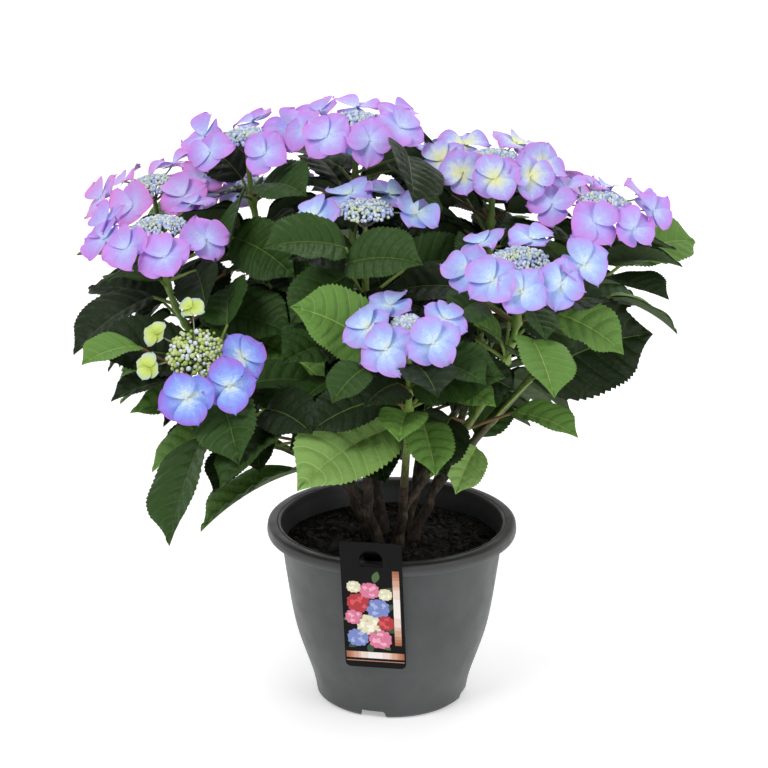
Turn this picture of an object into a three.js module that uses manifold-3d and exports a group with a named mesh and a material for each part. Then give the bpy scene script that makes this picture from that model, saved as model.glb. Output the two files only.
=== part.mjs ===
// A lacecap hydrangea in its nursery pot, with the plant label hooked over the pot's rim.
// Millimetres, +Z up. The origin is the middle of the pot's underside, and the front faces -Y.
// Azimuths are degrees from +X towards +Y, pitches are degrees above level.
import * as THREE from "three";
import { mergeVertices } from "three/addons/utils/BufferGeometryUtils.js";
import Module from "manifold-3d";

const wasm = await Module();
wasm.setup();

// ---------------------------------------------------------------- pot, soil and label
const GAP = 0.4; // between pieces that meet
const TURNS = 28; // sides of the pot and the soil

const POT_WALL = 2.2;
const POT_OUTLINE = [
  // outer radius and height, from the foot to just under the rim
  [74, 0],
  [79, 4],
  [84, 27],
  [101, 80],
  [110.5, 136],
  [116.5, 182],
];
const FOOT_RING = 4; // width of the ring that the pot stands on
const PAD_RADIUS = 42; // flat middle of the underside, level with the ring
const RECESS = 9; // height of the hollow between the ring and the pad
const RIM_RADIUS = 130;
const RIM_TOP = 193;
const RIM_SKIRT = 12; // how far the rim's outer edge turns down
const RIM_EDGE = 3; // size of the rim's rounded corner
const NOTCH_WIDTH = 28;
const NOTCH_AZIMUTHS = [75, 165, 255, 345];
const DRAIN_RADIUS = 5;
const DRAIN_RING = 60; // distance of the drain holes from the middle
const NOTCH_DEPTH = 20;

const SOIL_TOP = 172;
const SOIL_EDGE = 169; // height of the soil where it meets the pot
const SOIL_FLAT = 62; // radius of its level middle

const LABEL = {
  azimuth: 261,
  width: 63,
  length: 158,
  corner: 6,
  thick: 1.2,
  above: 30, // stands above the rim
  lean: 14, // degrees in from upright, down towards the wall
  windowWidth: 24, // the window that the tongue is cut from
  windowTop: 20, // height of the window's arch above the rim
  tongueWidth: 20,
  tongueDrop: 14, // how far the tongue reaches down inside the rim
  tongueStandOff: 2.5, // from the middle of the tongue to the pot's inner wall
};

// ---------------------------------------------------------------- growth of the shrub
const FOOT_DISTANCE = 22; // of a woody limb's foot from the middle of the pot
const FORK_DISTANCE = 40;
const FORK_RISE = 48; // height of the fork above the soil
const FOOT_RADIUS = 6.6;
const FORK_RADIUS = 5;
const WOODY_UNTIL = 0.14; // share of a shoot that is woody and belongs to its limb
const STEM_RADIUS = 4.6; // green stem at the fork
const STEM_THINNING = 1.9; // less by this much at the tip
const STALK = 30; // from a shoot's last node to the middle of its flower head

// Where each woody limb leaves the soil
const LIMBS = { west: 175, south_west: 233, south: 287, east: 355, north_east: 50, north: 112 };

// Each shoot grows from its limb's fork to one flower head: the head's middle, the azimuth that it
// leans to, its tilt off level, the radius of its ring of open flowers, their azimuths and those of
// its small unopened ones. Its largest leaves are [share of the shoot, azimuth, pitch, length,
// petiole, roll, swing of the petiole], and below its head it has so many pairs besides.
const ALL_ROUND = [0, 51, 103, 154, 206, 257, 309];
const SHOOTS = [
  {
    name: "far_left", limb: "west", head: [-250, 100, 525], lean: 215, tilt: 10, ring: 52,
    florets: [185, 250, 310, 5, 70, 130], small: [], pairs: 4, leaves: [],
  },
  {
    name: "left", limb: "west", head: [-234, -22, 514], lean: 240, tilt: 9, ring: 60,
    florets: [195, 240, 280, 325, 160, 100, 60], small: [], pairs: 2,
    leaves: [[0.84, 210, -28, 103, 24, -20, -30], [0.96, 319, -17, 90, 78, 20, 60],
      [0.92, 280, -10, 85, 36, 0, 60]],
  },
  {
    name: "low_left", limb: "south_west", head: [-190, -170, 430], lean: 262, tilt: 42, ring: 50,
    florets: [300, 262, 350], small: [200, 140, 95], pairs: 1,
    leaves: [[0.96, 296, -37, 104, 12, 0, 45], [0.54, 250, -43, 124, 78, 14, -30],
      [0.82, 202, 11, 110, 48, -30, -75], [0.62, 27, 3, 142, 24, 30, -15],
      [0.6, 229, -21, 105, 72, 20, 75], [0.94, 91, 11, 85, 66, 0, -30],
      [0.2, 212, -20, 126, 54, 25, 15],
      [0.92, 221, -3, 70, 76, -20, -45]],
  },
  {
    name: "top_left", limb: "north", head: [-150, 70, 585], lean: 235, tilt: 8, ring: 46,
    florets: [170, 225, 300, 0, 80], small: [], pairs: 4,
    leaves: [],
  },
  {
    name: "top", limb: "north", head: [-38, 55, 604], lean: 262, tilt: 6, ring: 52,
    florets: [190, 235, 290, 345, 35, 90, 140], small: [], pairs: 4,
    leaves: [[0.94, 273, -12, 105, 78, 0, 45], [0.8, 115, 8, 80, 50, 0, 0],
      [0.92, 280, -18, 94, 52, 0, 30]],
  },
  {
    name: "centre", limb: "south_west", head: [-27, -70, 545], lean: 265, tilt: 7, ring: 52,
    florets: [183, 355, 110, 65], small: [], pairs: 3,
    leaves: [[0.8, 326, 9, 92, 78, 0, -75], [0.86, 216, 11, 90, 78, 0, 45],
      [0.52, 253, -24, 77, 36, 0, 75]],
  },
  {
    name: "front", limb: "south", head: [14, -200, 468], lean: 262, tilt: 20, ring: 38,
    florets: [180, 238, 305, 20, 110], small: [], pairs: 1,
    leaves: [[0.66, 194, 31, 101, 78, -15, -15], [0.58, 223, -15, 130, 24, 0, 0],
      [0.82, 333, 14, 98, 12, 10, -60], [0.62, 281, -27, 72, 18, 0, 45]],
  },
  {
    name: "top_right", limb: "east", head: [104, 35, 569], lean: 285, tilt: 9, ring: 50,
    florets: [180, 225, 268, 310, 0, 60, 120], small: [], pairs: 4,
    leaves: [[0.92, 32, 5, 88, 20, 10, 75], [0.84, 78, 3, 88, 68, 0, 45],
      [0.96, 113, 9, 64, 72, 0, 45]],
  },
  {
    name: "right_front", limb: "south", head: [124, -130, 512], lean: 265, tilt: 9, ring: 60,
    florets: [205, 238, 270, 310, 345, 80, 130], small: [], pairs: 1,
    leaves: [[0.32, 242, -37, 58, 48, 0, 60], [0.4, 330, -10, 76, 56, 0, 15],
      [0.74, 234, 31, 58, 24, 0, 0], [0.94, 285, -18, 60, 18, 0, 15], [0.36, 249, -16, 70, 12, 0, 0],
      [0.88, 246, -2, 70, 44, 0, -60], [0.44, 252, -24, 85, 20, 0, -60]],
  },
  {
    name: "right", limb: "east", head: [215, 0, 532], lean: 300, tilt: 10, ring: 52,
    florets: [190, 250, 305, 350, 40, 90, 140], small: [], pairs: 1,
    leaves: [[0.3, 23, 13, 144, 72, 35, -60], [0.8, 31, 0, 84, 66, 20, -15],
      [0.82, 319, 2, 98, 12, 25, -30], [0.7, 337, 11, 75, 78, 50, 60], [0.88, 336, 5, 87, 12, -15, 15],
      [0.2, 65, 22, 70, 12, 0, 0]],
  },
  {
    name: "back_left", limb: "west", head: [-150, 190, 500], lean: 120, tilt: 18, ring: 54,
    florets: ALL_ROUND, small: [], pairs: 5, leaves: [],
  },
  {
    name: "back", limb: "north", head: [5, 205, 530], lean: 90, tilt: 14, ring: 56,
    florets: ALL_ROUND, small: [], pairs: 5, leaves: [],
  },
  {
    name: "back_right", limb: "north_east", head: [170, 165, 505], lean: 50, tilt: 18, ring: 54,
    florets: ALL_ROUND, small: [], pairs: 5, leaves: [],
  },
  {
    name: "low_back", limb: "north_east", head: [70, 255, 425], lean: 80, tilt: 38, ring: 48,
    florets: [0, 60, 120, 180, 240, 300], small: [], pairs: 5, leaves: [],
  },
];

// Where the pairs of leaves stand besides a shoot's largest ones, from its head down
const PAIR_AT = [0.9, 0.77, 0.63, 0.49, 0.36];
const PAIR_TURN = 90; // each pair stands across the one below
const PAIR_LENGTH = 104;
const TOP_PAIR_LENGTH = 80;
const PAIR_PITCH = 12; // of the top pair, less by PAIR_DROP for each pair below
const PAIR_DROP = 9;
const TRIES = 8;
const TURN_STEP = 14; // degrees that a leaf of a pair is turned from try to try
const NUDGE_STEP = 5; // the same for a shoot's largest leaves
const DROP_SHARE = 0.2; // how far each try drops the leaf, over its turn

const LEAF_WIDTH = 0.35; // half width over length
const LEAF_FOLD = 16; // degrees that each half rises from the midrib
const LEAF_BEND = 34; // degrees that the midrib bends down from base to tip
const LEAF_HALF_THICKNESS = 0.8;
const LEAF_STATIONS = [0.16, 0.45, 0.76];
const LEAF_CLEARANCE = 1.3;
const PETIOLE_SUNK = 1.6; // a petiole starts this far from the middle of its stem
const PETIOLE_RADIUS = 1.9;
const PETIOLE_TOP_RADIUS = 1.5;
const LIGHT_UP = 0.72; // leaves face up this much, and out from the plant's middle this much
const LIGHT_OUT = 0.6;

const CORE_SIDES = 7;
const DOME_RADIUS = 27;
const DOME_HEIGHT = 0.5; // over its radius
const STALK_RADIUS = 2.7;
const NECK = 15; // depth of the stalk's top under the head's middle

const FLORET_RADIUS = 23;
const FLORET_RELIEF = 0.2; // how far the edge stands above the middle, over the radius
const FLORET_OUT = 0.6; // how much a floret faces out from its head
const FLORET_DROOP = 0.55; // how much it faces the way its head leans
const FLORET_DEPTH = 2.5; // thickness under its middle
const SMALL_FLORET = 0.5;
const SEPAL_NOTCH = 0.7; // radius between two sepals, over the floret's
const SEPAL_SHOULDER = 27; // degrees from the notch to a sepal's corner
const PEDICEL_RADIUS = 1.5;

// ---------------------------------------------------------------- vectors and chance
const UP = new THREE.Vector3(0, 0, 1);
const rad = THREE.MathUtils.degToRad;

function heading(azimuth, pitch = 0) {
  const a = rad(azimuth), p = rad(pitch);
  return new THREE.Vector3(Math.cos(a) * Math.cos(p), Math.sin(a) * Math.cos(p), Math.sin(p));
}

// A point or direction made of weighted vectors: blend([a, 2], [b, -1]) is 2a - b.
function blend(...terms) {
  const sum = new THREE.Vector3();
  for (const [vector, weight] of terms) sum.addScaledVector(vector, weight);
  return sum;
}

// The same run of numbers from 0 to 1 for the same seed
function chance(seed) {
  let state = seed >>> 0;
  return () => {
    state = (state + 0x6d2b79f5) >>> 0;
    let mixed = Math.imul(state ^ (state >>> 15), state | 1);
    mixed ^= mixed + Math.imul(mixed ^ (mixed >>> 7), mixed | 61);
    return ((mixed ^ (mixed >>> 14)) >>> 0) / 4294967296;
  };
}

// ---------------------------------------------------------------- solids
function geometryOf(points, faces) {
  const geometry = new THREE.BufferGeometry().setFromPoints(points);
  geometry.setIndex(faces.flat());
  return geometry;
}

function solidOf(geometry) {
  const plain = geometry.clone();
  plain.deleteAttribute("normal");
  plain.deleteAttribute("uv");
  const merged = mergeVertices(plain, 1e-4);
  return new wasm.Manifold(new wasm.Mesh({
    numProp: 3,
    vertProperties: merged.attributes.position.array,
    triVerts: new Uint32Array(merged.index.array),
  }));
}

function geometryFrom(solid) {
  const mesh = solid.getMesh();
  const geometry = new THREE.BufferGeometry();
  geometry.setAttribute("position", new THREE.BufferAttribute(mesh.vertProperties, 3));
  geometry.setIndex(new THREE.BufferAttribute(mesh.triVerts, 1));
  geometry.computeVertexNormals();
  return geometry;
}

const join = (solids) => wasm.Manifold.union(solids);

// One closed skin over rings of points that turn left about the way from the first to the last. A ring
// may have several times as many points as the one before, and the ends may be single points. The
// diagonals change sides from face to face, so that the two sides of a thin blade stay even.
function skin(rings) {
  const faces = [];
  let start = 0;
  for (let i = 0; i + 1 < rings.length; i++) {
    const here = rings[i].length, there = rings[i + 1].length, next = start + here;
    if (here === there) {
      for (let k = 0; k < here; k++) {
        const a = start + k, b = start + ((k + 1) % here), c = next + ((k + 1) % here), d = next + k;
        faces.push(...(k % 2 ? [[a, b, d], [b, c, d]] : [[a, b, c], [a, c, d]]));
      }
    } else if (there === 1) {
      for (let k = 0; k < here; k++) faces.push([start + k, start + ((k + 1) % here), next]);
    } else {
      const share = there / here;
      for (let k = 0; k < there; k++) {
        faces.push([start + Math.floor(k / share), next + ((k + 1) % there), next + k]);
      }
      for (let k = 0; k < here && here > 1; k++) {
        faces.push([start + k, start + ((k + 1) % here), next + (((k + 1) * share) % there)]);
      }
    }
    start = next;
  }
  const first = rings[0].length, last = rings[rings.length - 1].length;
  for (let k = 1; k + 1 < first; k++) faces.push([0, k + 1, k]);
  for (let k = 1; k + 1 < last; k++) faces.push([start, start + k, start + k + 1]);
  return solidOf(geometryOf(rings.flat(), faces));
}

// A ring of points round a centre, square to an axis; side is the direction of its first point.
function ringRound(centre, axis, side, radius, sides) {
  const other = new THREE.Vector3().crossVectors(axis, side);
  return Array.from({ length: sides }, (_, k) => {
    const turn = (2 * Math.PI * k) / sides;
    return blend([centre, 1], [side, radius * Math.cos(turn)], [other, radius * Math.sin(turn)]);
  });
}

function across(axis, hint) {
  return new THREE.Vector3().crossVectors(axis, hint).normalize();
}

// The direction square to an axis that lies nearest to a given one
function square(direction, axis) {
  return blend([direction, 1], [axis, -direction.dot(axis)]).normalize();
}

// A limb of round section along points, with a radius for each, closed by flat ends
function limbAlong(points, radii, sides) {
  let side = null;
  return skin(points.map((point, i) => {
    const before = points[Math.max(i - 1, 0)], after = points[Math.min(i + 1, points.length - 1)];
    const along = after.clone().sub(before).normalize();
    const hint = Math.abs(along.z) > 0.9 ? new THREE.Vector3(1, 0, 0) : UP;
    side = side ? square(side, along) : across(along, hint);
    return ringRound(point, along, side, radii[i], sides);
  }));
}

// ---------------------------------------------------------------- pot
function turned(profile) {
  const geometry = new THREE.LatheGeometry(profile.map(([r, z]) => new THREE.Vector2(r, z)), TURNS);
  return geometry.rotateX(Math.PI / 2);
}

function wallRadius(height) {
  const above = POT_OUTLINE.findIndex(([, z]) => z >= height);
  const [r1, z1] = POT_OUTLINE[above], [r0, z0] = POT_OUTLINE[Math.max(above - 1, 0)];
  return z1 > z0 ? r0 + ((r1 - r0) * (height - z0)) / (z1 - z0) : r1;
}

// The inside of the pot from the middle of its floor up to the given height, drawn in by a margin
function insideLine(top, margin) {
  const floor = RECESS + POT_WALL + margin;
  const wall = POT_OUTLINE.filter(([, z]) => z > floor && z < top);
  return [
    [0, POT_WALL + margin],
    [PAD_RADIUS - POT_WALL - margin, POT_WALL + margin],
    [PAD_RADIUS - margin, floor],
    [wallRadius(floor) - POT_WALL - margin, floor],
    ...wall.map(([r, z]) => [r - POT_WALL - margin, z]),
    [wallRadius(top) - POT_WALL - margin, top],
  ];
}

function pot() {
  const [footRadius] = POT_OUTLINE[0];
  const [underRimRadius, underRim] = POT_OUTLINE[POT_OUTLINE.length - 1];
  const flange = RIM_TOP - POT_WALL;
  const profile = [
    [0, 0],
    [PAD_RADIUS, 0],
    [PAD_RADIUS + POT_WALL, RECESS],
    [footRadius - FOOT_RING, RECESS],
    [footRadius - FOOT_RING, 0],
    ...POT_OUTLINE,
    [underRimRadius + 1, flange],
    [RIM_RADIUS - POT_WALL, flange],
    [RIM_RADIUS - POT_WALL, RIM_TOP - RIM_SKIRT],
    [RIM_RADIUS, RIM_TOP - RIM_SKIRT],
    [RIM_RADIUS, RIM_TOP - RIM_EDGE],
    [RIM_RADIUS - RIM_EDGE, RIM_TOP],
    [underRimRadius + RIM_EDGE, RIM_TOP],
    ...insideLine(underRim, 0).reverse(),
  ];
  let body = solidOf(turned(profile));
  for (const azimuth of NOTCH_AZIMUTHS) {
    const notch = new THREE.BoxGeometry(NOTCH_DEPTH, NOTCH_WIDTH, 2 * RECESS);
    notch.translate(footRadius, 0, 0).rotateZ(rad(azimuth));
    const drain = new THREE.CylinderGeometry(DRAIN_RADIUS, DRAIN_RADIUS, 4 * RECESS, 10);
    drain.rotateX(Math.PI / 2).translate(DRAIN_RING, 0, 0).rotateZ(rad(azimuth));
    body = body.subtract(solidOf(notch)).subtract(solidOf(drain));
  }
  return body;
}

function soil() {
  return solidOf(turned([...insideLine(SOIL_EDGE, GAP), [SOIL_FLAT, SOIL_TOP], [0, SOIL_TOP]]));
}

// ---------------------------------------------------------------- label
function roundedPlate(width, bottom, top, corner) {
  const half = width / 2;
  const outline = new THREE.Shape();
  outline.absarc(half - corner, bottom + corner, corner, -Math.PI / 2, 0);
  outline.absarc(half - corner, top - corner, corner, 0, Math.PI / 2);
  outline.absarc(-half + corner, top - corner, corner, Math.PI / 2, Math.PI);
  outline.absarc(-half + corner, bottom + corner, corner, Math.PI, 1.5 * Math.PI);
  return outline;
}

// A band of even thickness along a curve drawn in one plane
function band(curve, thick, steps) {
  const inner = [], outer = [];
  for (let i = 0; i <= steps; i++) {
    const point = curve.getPoint(i / steps), along = curve.getTangent(i / steps);
    const off = new THREE.Vector2(-along.y, along.x).multiplyScalar(thick / 2);
    outer.push(point.clone().add(off));
    inner.unshift(point.clone().sub(off));
  }
  return new THREE.Shape([...outer, ...inner]);
}

// The card leans on the foot of the rim's edge. An arched tongue cut from it bends back through the
// window that it leaves, and reaches down inside the rim. The card is made facing +X.
function label() {
  const { thick, lean, windowWidth, windowTop, tongueWidth, tongueDrop } = LABEL;
  const hinge = RIM_TOP - RIM_SKIRT, face = RIM_RADIUS + GAP;
  const onCard = (height) => (height - hinge) / Math.cos(rad(lean));
  const top = onCard(RIM_TOP + LABEL.above);
  const outline = roundedPlate(LABEL.width, top - LABEL.length, top, LABEL.corner);
  const arch = new THREE.Path();
  const sill = onCard(RIM_TOP + 1), crown = onCard(RIM_TOP + windowTop) - windowWidth / 2;
  arch.moveTo(-windowWidth / 2, sill);
  arch.lineTo(windowWidth / 2, sill);
  arch.absarc(0, crown, windowWidth / 2, 0, Math.PI);
  outline.holes.push(arch);
  const card = new THREE.ExtrudeGeometry(outline,
    { depth: thick, bevelEnabled: false, curveSegments: 4 });
  card.rotateX(Math.PI / 2).rotateZ(Math.PI / 2);
  card.rotateY(rad(lean)).translate(face, 0, hinge);

  const inside = wallRadius(hinge) - POT_WALL - LABEL.tongueStandOff;
  const root = RIM_TOP + windowTop + 1;
  const rootRadius = face + thick / 2 + (root - hinge) * Math.tan(rad(lean));
  const bend = new THREE.CubicBezierCurve(
    new THREE.Vector2(rootRadius, root),
    new THREE.Vector2(rootRadius - windowTop / 2, root - windowTop / 2),
    new THREE.Vector2(inside, RIM_TOP + windowTop / 2),
    new THREE.Vector2(inside, RIM_TOP - tongueDrop),
  );
  const tongue = new THREE.ExtrudeGeometry(band(bend, thick, 7),
    { depth: tongueWidth, bevelEnabled: false });
  tongue.translate(0, 0, -tongueWidth / 2).rotateX(Math.PI / 2);

  const body = join([solidOf(card), solidOf(tongue)]);
  return solidOf(geometryFrom(body).rotateZ(rad(LABEL.azimuth)));
}

// ---------------------------------------------------------------- limbs and stems
function footOf(limb) {
  return blend([heading(LIMBS[limb]), FOOT_DISTANCE], [UP, SOIL_TOP + GAP]);
}

function forkOf(limb) {
  return blend([heading(LIMBS[limb]), FORK_DISTANCE], [UP, SOIL_TOP + FORK_RISE]);
}

function headAxis(shoot) {
  return heading(shoot.lean, 90 - shoot.tilt);
}

// The shoot's curve: it leaves the fork steeply and turns to stand under its flower head.
function routeOf(shoot) {
  const fork = forkOf(shoot.limb), axis = headAxis(shoot);
  const tip = blend([new THREE.Vector3(...shoot.head), 1], [axis, -STALK]);
  const span = tip.clone().sub(fork), reach = span.length();
  const outwards = new THREE.Vector3(span.x, span.y, 0).normalize();
  const start = blend([UP, 0.85], [outwards, 0.55]).normalize();
  const end = blend([axis, 1], [UP, 0.9]).normalize();
  return new THREE.CubicBezierCurve3(
    fork,
    blend([fork, 1], [start, 0.36 * reach]),
    blend([tip, 1], [end, -0.36 * reach]),
    tip,
  );
}

const stemRadius = (share) => STEM_RADIUS - STEM_THINNING * share;

// A stretch of a shoot between two shares of its route, each end square to the route and drawn back
// by a trim
function stretch(route, from, to, steps, sides, trimStart = GAP / 2, trimEnd = GAP / 2) {
  const slope = 1 / route.getLength();
  const start = from + trimStart * slope, end = to - trimEnd * slope;
  const rings = [];
  for (let i = 0; i <= steps; i++) {
    const share = start + ((end - start) * i) / steps;
    const along = route.getTangent(share);
    const side = square(heading(0), along);
    rings.push(ringRound(route.getPoint(share), along, side, stemRadius(share), sides));
  }
  return skin(rings);
}

// A limb with a flared foot, cut flat on the soil, and the woody start of each of its shoots
function woodyLimb(limb, shoots) {
  const foot = footOf(limb), fork = forkOf(limb);
  const points = [
    blend([foot, 1], [UP, -GAP]),
    blend([foot, 0.7], [fork, 0.3], [UP, 2]),
    blend([fork, 1], [UP, -10]),
    blend([fork, 1], [UP, 5]),
  ];
  const radii = [FOOT_RADIUS, 0.8 * FOOT_RADIUS, FORK_RADIUS, 0.8 * FORK_RADIUS];
  const starts = shoots.map((shoot) => stretch(routeOf(shoot), 0, WOODY_UNTIL, 2, 6, 0));
  const cut = 4 * FOOT_RADIUS;
  const below = new THREE.BoxGeometry(cut, cut, cut).translate(foot.x, foot.y, foot.z - cut / 2);
  return join([limbAlong(points, radii, 7), ...starts]).subtract(solidOf(below));
}

// ---------------------------------------------------------------- leaves
// A leaf's base, set off from the stem by its petiole
function leafOf(route, row) {
  const { share, azimuth, pitch, petiole, swing = 0 } = row;
  const rise = pitch > -30 ? Math.max(20, pitch + 35) : 15;
  const node = route.getPoint(share);
  const base = blend([node, 1], [heading(azimuth + swing, rise), petiole]);
  return { ...row, node, base };
}

// Half width along the midrib, as a share of the widest
function bladeOutline(s) {
  return s <= 0 || s >= 1 ? 0 : 2.491 * s ** 0.55 * (1 - s) ** 0.8;
}

// The midrib's point at share s, with the direction to the blade's side and its upper face
function midrib(leaf, s) {
  const start = rad(leaf.pitch + LEAF_BEND / 2), bend = rad(LEAF_BEND), here = start - bend * s;
  const ahead = heading(leaf.azimuth);
  const run = ((Math.sin(start) - Math.sin(here)) / bend) * leaf.length;
  const rise = ((Math.cos(here) - Math.cos(start)) / bend) * leaf.length;
  const point = blend([leaf.base, 1], [ahead, run], [UP, rise]);
  const along = blend([ahead, Math.cos(here)], [UP, Math.sin(here)]);
  const outwards = new THREE.Vector3(leaf.base.x, leaf.base.y, 0).normalize();
  const light = blend([UP, LIGHT_UP], [outwards, LIGHT_OUT]);
  const side = across(light, along).applyAxisAngle(along, rad(leaf.roll));
  return { point, side, upper: new THREE.Vector3().crossVectors(along, side) };
}

// A point of the blade: s along it, u from -1 to 1 across it, lifted off its middle surface
function bladePoint(leaf, s, u, lift = 0, widen = 0) {
  const { point, side, upper } = midrib(leaf, s);
  const edge = s <= 0 || s >= 1 ? 0 : leaf.length * LEAF_WIDTH * bladeOutline(s) + widen;
  const fold = rad(LEAF_FOLD);
  return blend([point, 1], [side, u * edge * Math.cos(fold)],
    [upper, Math.abs(u) * edge * Math.sin(fold) + lift]);
}

// The rings of the blade's stations: the midrib's top, one edge, the midrib's underside, the other
function bladeRings(leaf, halfThickness = LEAF_HALF_THICKNESS, widen = 0) {
  return LEAF_STATIONS.map((s) => [
    bladePoint(leaf, s, 0, halfThickness),
    bladePoint(leaf, s, -1, 0, widen),
    bladePoint(leaf, s, 0, -halfThickness),
    bladePoint(leaf, s, 1, 0, widen),
  ]);
}

function petioleRings(leaf) {
  const along = leaf.base.clone().sub(leaf.node).normalize();
  const side = across(along, across(heading(leaf.azimuth), UP));
  const root = blend([leaf.node, 1], [along, PETIOLE_SUNK]);
  return [
    ringRound(root, along, side, PETIOLE_RADIUS, 4),
    ringRound(leaf.base, along, side, PETIOLE_TOP_RADIUS, 4),
  ];
}

// The blade alone, swollen by the space that it keeps clear
function bladeSpace(leaf) {
  return skin([
    [bladePoint(leaf, 0, 0)],
    ...bladeRings(leaf, LEAF_HALF_THICKNESS + LEAF_CLEARANCE, LEAF_CLEARANCE),
    [bladePoint(leaf, 1, 0)],
  ]);
}

// Petiole and blade in one
function wholeLeaf(leaf) {
  return skin([...petioleRings(leaf), ...bladeRings(leaf), [bladePoint(leaf, 1, 0)]]);
}

// ---------------------------------------------------------------- spacing
function near(a, b) {
  const p = a.boundingBox(), q = b.boundingBox();
  return [0, 1, 2].every((i) => p.min[i] <= q.max[i] && q.min[i] <= p.max[i]);
}

function touches(solid, others) {
  return others.some((other) => near(solid, other) && !solid.intersect(other).isEmpty());
}

// ---------------------------------------------------------------- flower heads
// Stalk, spreading rays and the domed top of buds in one bumpy solid
function headCore(foot, footAxis, centre, axis, radius, random) {
  const side = across(axis, heading(0));
  const ring = (height, ringRadius, unevenness) => {
    const middle = blend([centre, 1], [axis, height]);
    const points = ringRound(middle, axis, side, ringRadius, CORE_SIDES);
    return points.map((point) => blend([point, 1], [axis, unevenness * (random() - 0.5)]));
  };
  const top = DOME_HEIGHT * radius;
  return skin([
    ringRound(foot, footAxis, square(side, footAxis), STALK_RADIUS, CORE_SIDES),
    ring(-NECK, STALK_RADIUS, 0),
    ring(-0.2 * NECK, 0.72 * radius, 3),
    ring(0.2 * NECK, radius, 5),
    ring(0.8 * top, 0.62 * radius, 5),
    [blend([centre, 1], [axis, top])],
  ]);
}

// Four broad sepals in a cross on a pedicel, thickest in the middle
function floret(root, centre, axis, radius, spin) {
  const side = across(axis, heading(spin, 20)), other = new THREE.Vector3().crossVectors(axis, side);
  const edge = [];
  for (let k = 0; k < 12; k++) {
    const reach = radius * [SEPAL_NOTCH, 1, 1][k % 3];
    const turn = rad(90 * Math.floor(k / 3) + [0, SEPAL_SHOULDER, 90 - SEPAL_SHOULDER][k % 3]);
    edge.push(blend([centre, 1], [side, reach * Math.cos(turn)], [other, reach * Math.sin(turn)],
      [axis, FLORET_RELIEF * reach]));
  }
  const under = blend([centre, 1], [axis, -FLORET_DEPTH]);
  const along = under.clone().sub(root).normalize();
  const bend = blend([along, 1], [axis, 1]).normalize();
  return skin([
    ringRound(root, along, square(side, along), PEDICEL_RADIUS, 3),
    ringRound(under, bend, square(side, bend), PEDICEL_RADIUS, 3),
    edge,
    [blend([centre, 1], [axis, 1])],
  ]);
}

// A head on its stalk; a floret that would touch what is already there is left out.
function flowerHead(shoot, index, taken) {
  const random = chance(7000 + index);
  const axis = headAxis(shoot), centre = new THREE.Vector3(...shoot.head);
  const footAxis = shoot.route.getTangent(1);
  const foot = blend([shoot.route.getPoint(1), 1], [footAxis, GAP / 2]);
  const domeRadius = Math.min(DOME_RADIUS, shoot.ring - FLORET_RADIUS);
  const solids = [headCore(foot, footAxis, centre, axis, domeRadius, random)];
  const open = shoot.florets.map((azimuth) => [azimuth, 1]);
  const small = shoot.small.map((azimuth) => [azimuth, SMALL_FLORET]);
  for (const [azimuth, size] of [...open, ...small]) {
    const level = heading(azimuth + 10 * (random() - 0.5));
    const outwards = square(level, axis);
    const distance = shoot.ring * (0.94 + 0.12 * random());
    const middle = blend([centre, 1], [outwards, distance], [axis, -4 + 10 * random()]);
    const facing = blend([axis, 1], [outwards, FLORET_OUT], [heading(shoot.lean), FLORET_DROOP]);
    const radius = FLORET_RADIUS * size * (0.9 + 0.2 * random());
    const root = blend([centre, 1], [outwards, 0.6 * domeRadius], [axis, 1]);
    const flower = floret(root, middle, facing.normalize(), radius, 360 * random());
    if (!touches(flower, taken)) solids.push(flower);
  }
  return join(solids);
}

// ---------------------------------------------------------------- leaf masses
// The pairs of a shoot from its top down, each leaf with its seeded size and bearing
function pairsOf(shoot, index) {
  const phase = 360 * chance(100 + index)();
  const rows = [];
  PAIR_AT.slice(0, shoot.pairs).forEach((share, level) => {
    for (const side of [0, 1]) {
      const random = chance(1000 * (index + 1) + 10 * level + side);
      rows.push({
        share: share + 0.02 * (random() - 0.5),
        azimuth: phase + PAIR_TURN * level + 180 * side + 30 * (random() - 0.5),
        pitch: PAIR_PITCH - PAIR_DROP * level + 16 * (random() - 0.5),
        length: (level === 0 ? TOP_PAIR_LENGTH : PAIR_LENGTH) + 22 * (random() - 0.5),
        petiole: 16 + 20 * random(),
        roll: 24 * (random() - 0.5),
        swing: 0,
      });
    }
  });
  return rows;
}

function largestOf(shoot) {
  return shoot.leaves.map(([share, azimuth, pitch, length, petiole, roll, swing]) => (
    { share, azimuth, pitch, length, petiole, roll, swing }
  ));
}

const others = (solids, shoot) => [...solids].filter(([key]) => key !== shoot).map(([, it]) => it);

// The leaf is turned and dropped step by step until it is clear of all that is there. One that
// finds no room is left out.
function growLeaf(shoot, row, step, { built, stems, grown }) {
  for (let i = 0; i < TRIES; i++) {
    const turn = step * Math.ceil(i / 2) * (i % 2 ? 1 : -1);
    const drop = DROP_SHARE * step * i;
    const leaf = leafOf(shoot.route,
      { ...row, azimuth: row.azimuth + turn, pitch: row.pitch - drop });
    const stalk = skin(petioleRings(leaf)), space = bladeSpace(leaf);
    const neighbours = grown.map((made) => (made.shoot === shoot ? made.space : made.solid));
    if (touches(stalk, [...built, ...others(stems, shoot), ...neighbours])) continue;
    if (touches(space, [...built, ...stems.values(), ...grown.map((made) => made.solid)])) continue;
    grown.push({ shoot, share: row.share, solid: wholeLeaf(leaf), space });
    return;
  }
}

// ---------------------------------------------------------------- assembly
const MATERIALS = {
  pot: { color: 0x4a4c4c, roughness: 0.5 },
  soil: { color: 0x1d1612, roughness: 1 },
  label: { color: 0x16171a, roughness: 0.35 },
  bark: { color: 0x4a3a2c, roughness: 0.9 },
  stem: { color: 0x5f7a38, roughness: 0.6 },
  leaf: { color: 0x41592e, roughness: 0.5 },
  flower: { color: 0xb9b4ee, roughness: 0.6 },
};

const plant = new THREE.Group();
plant.name = "potted_hydrangea";

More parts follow.
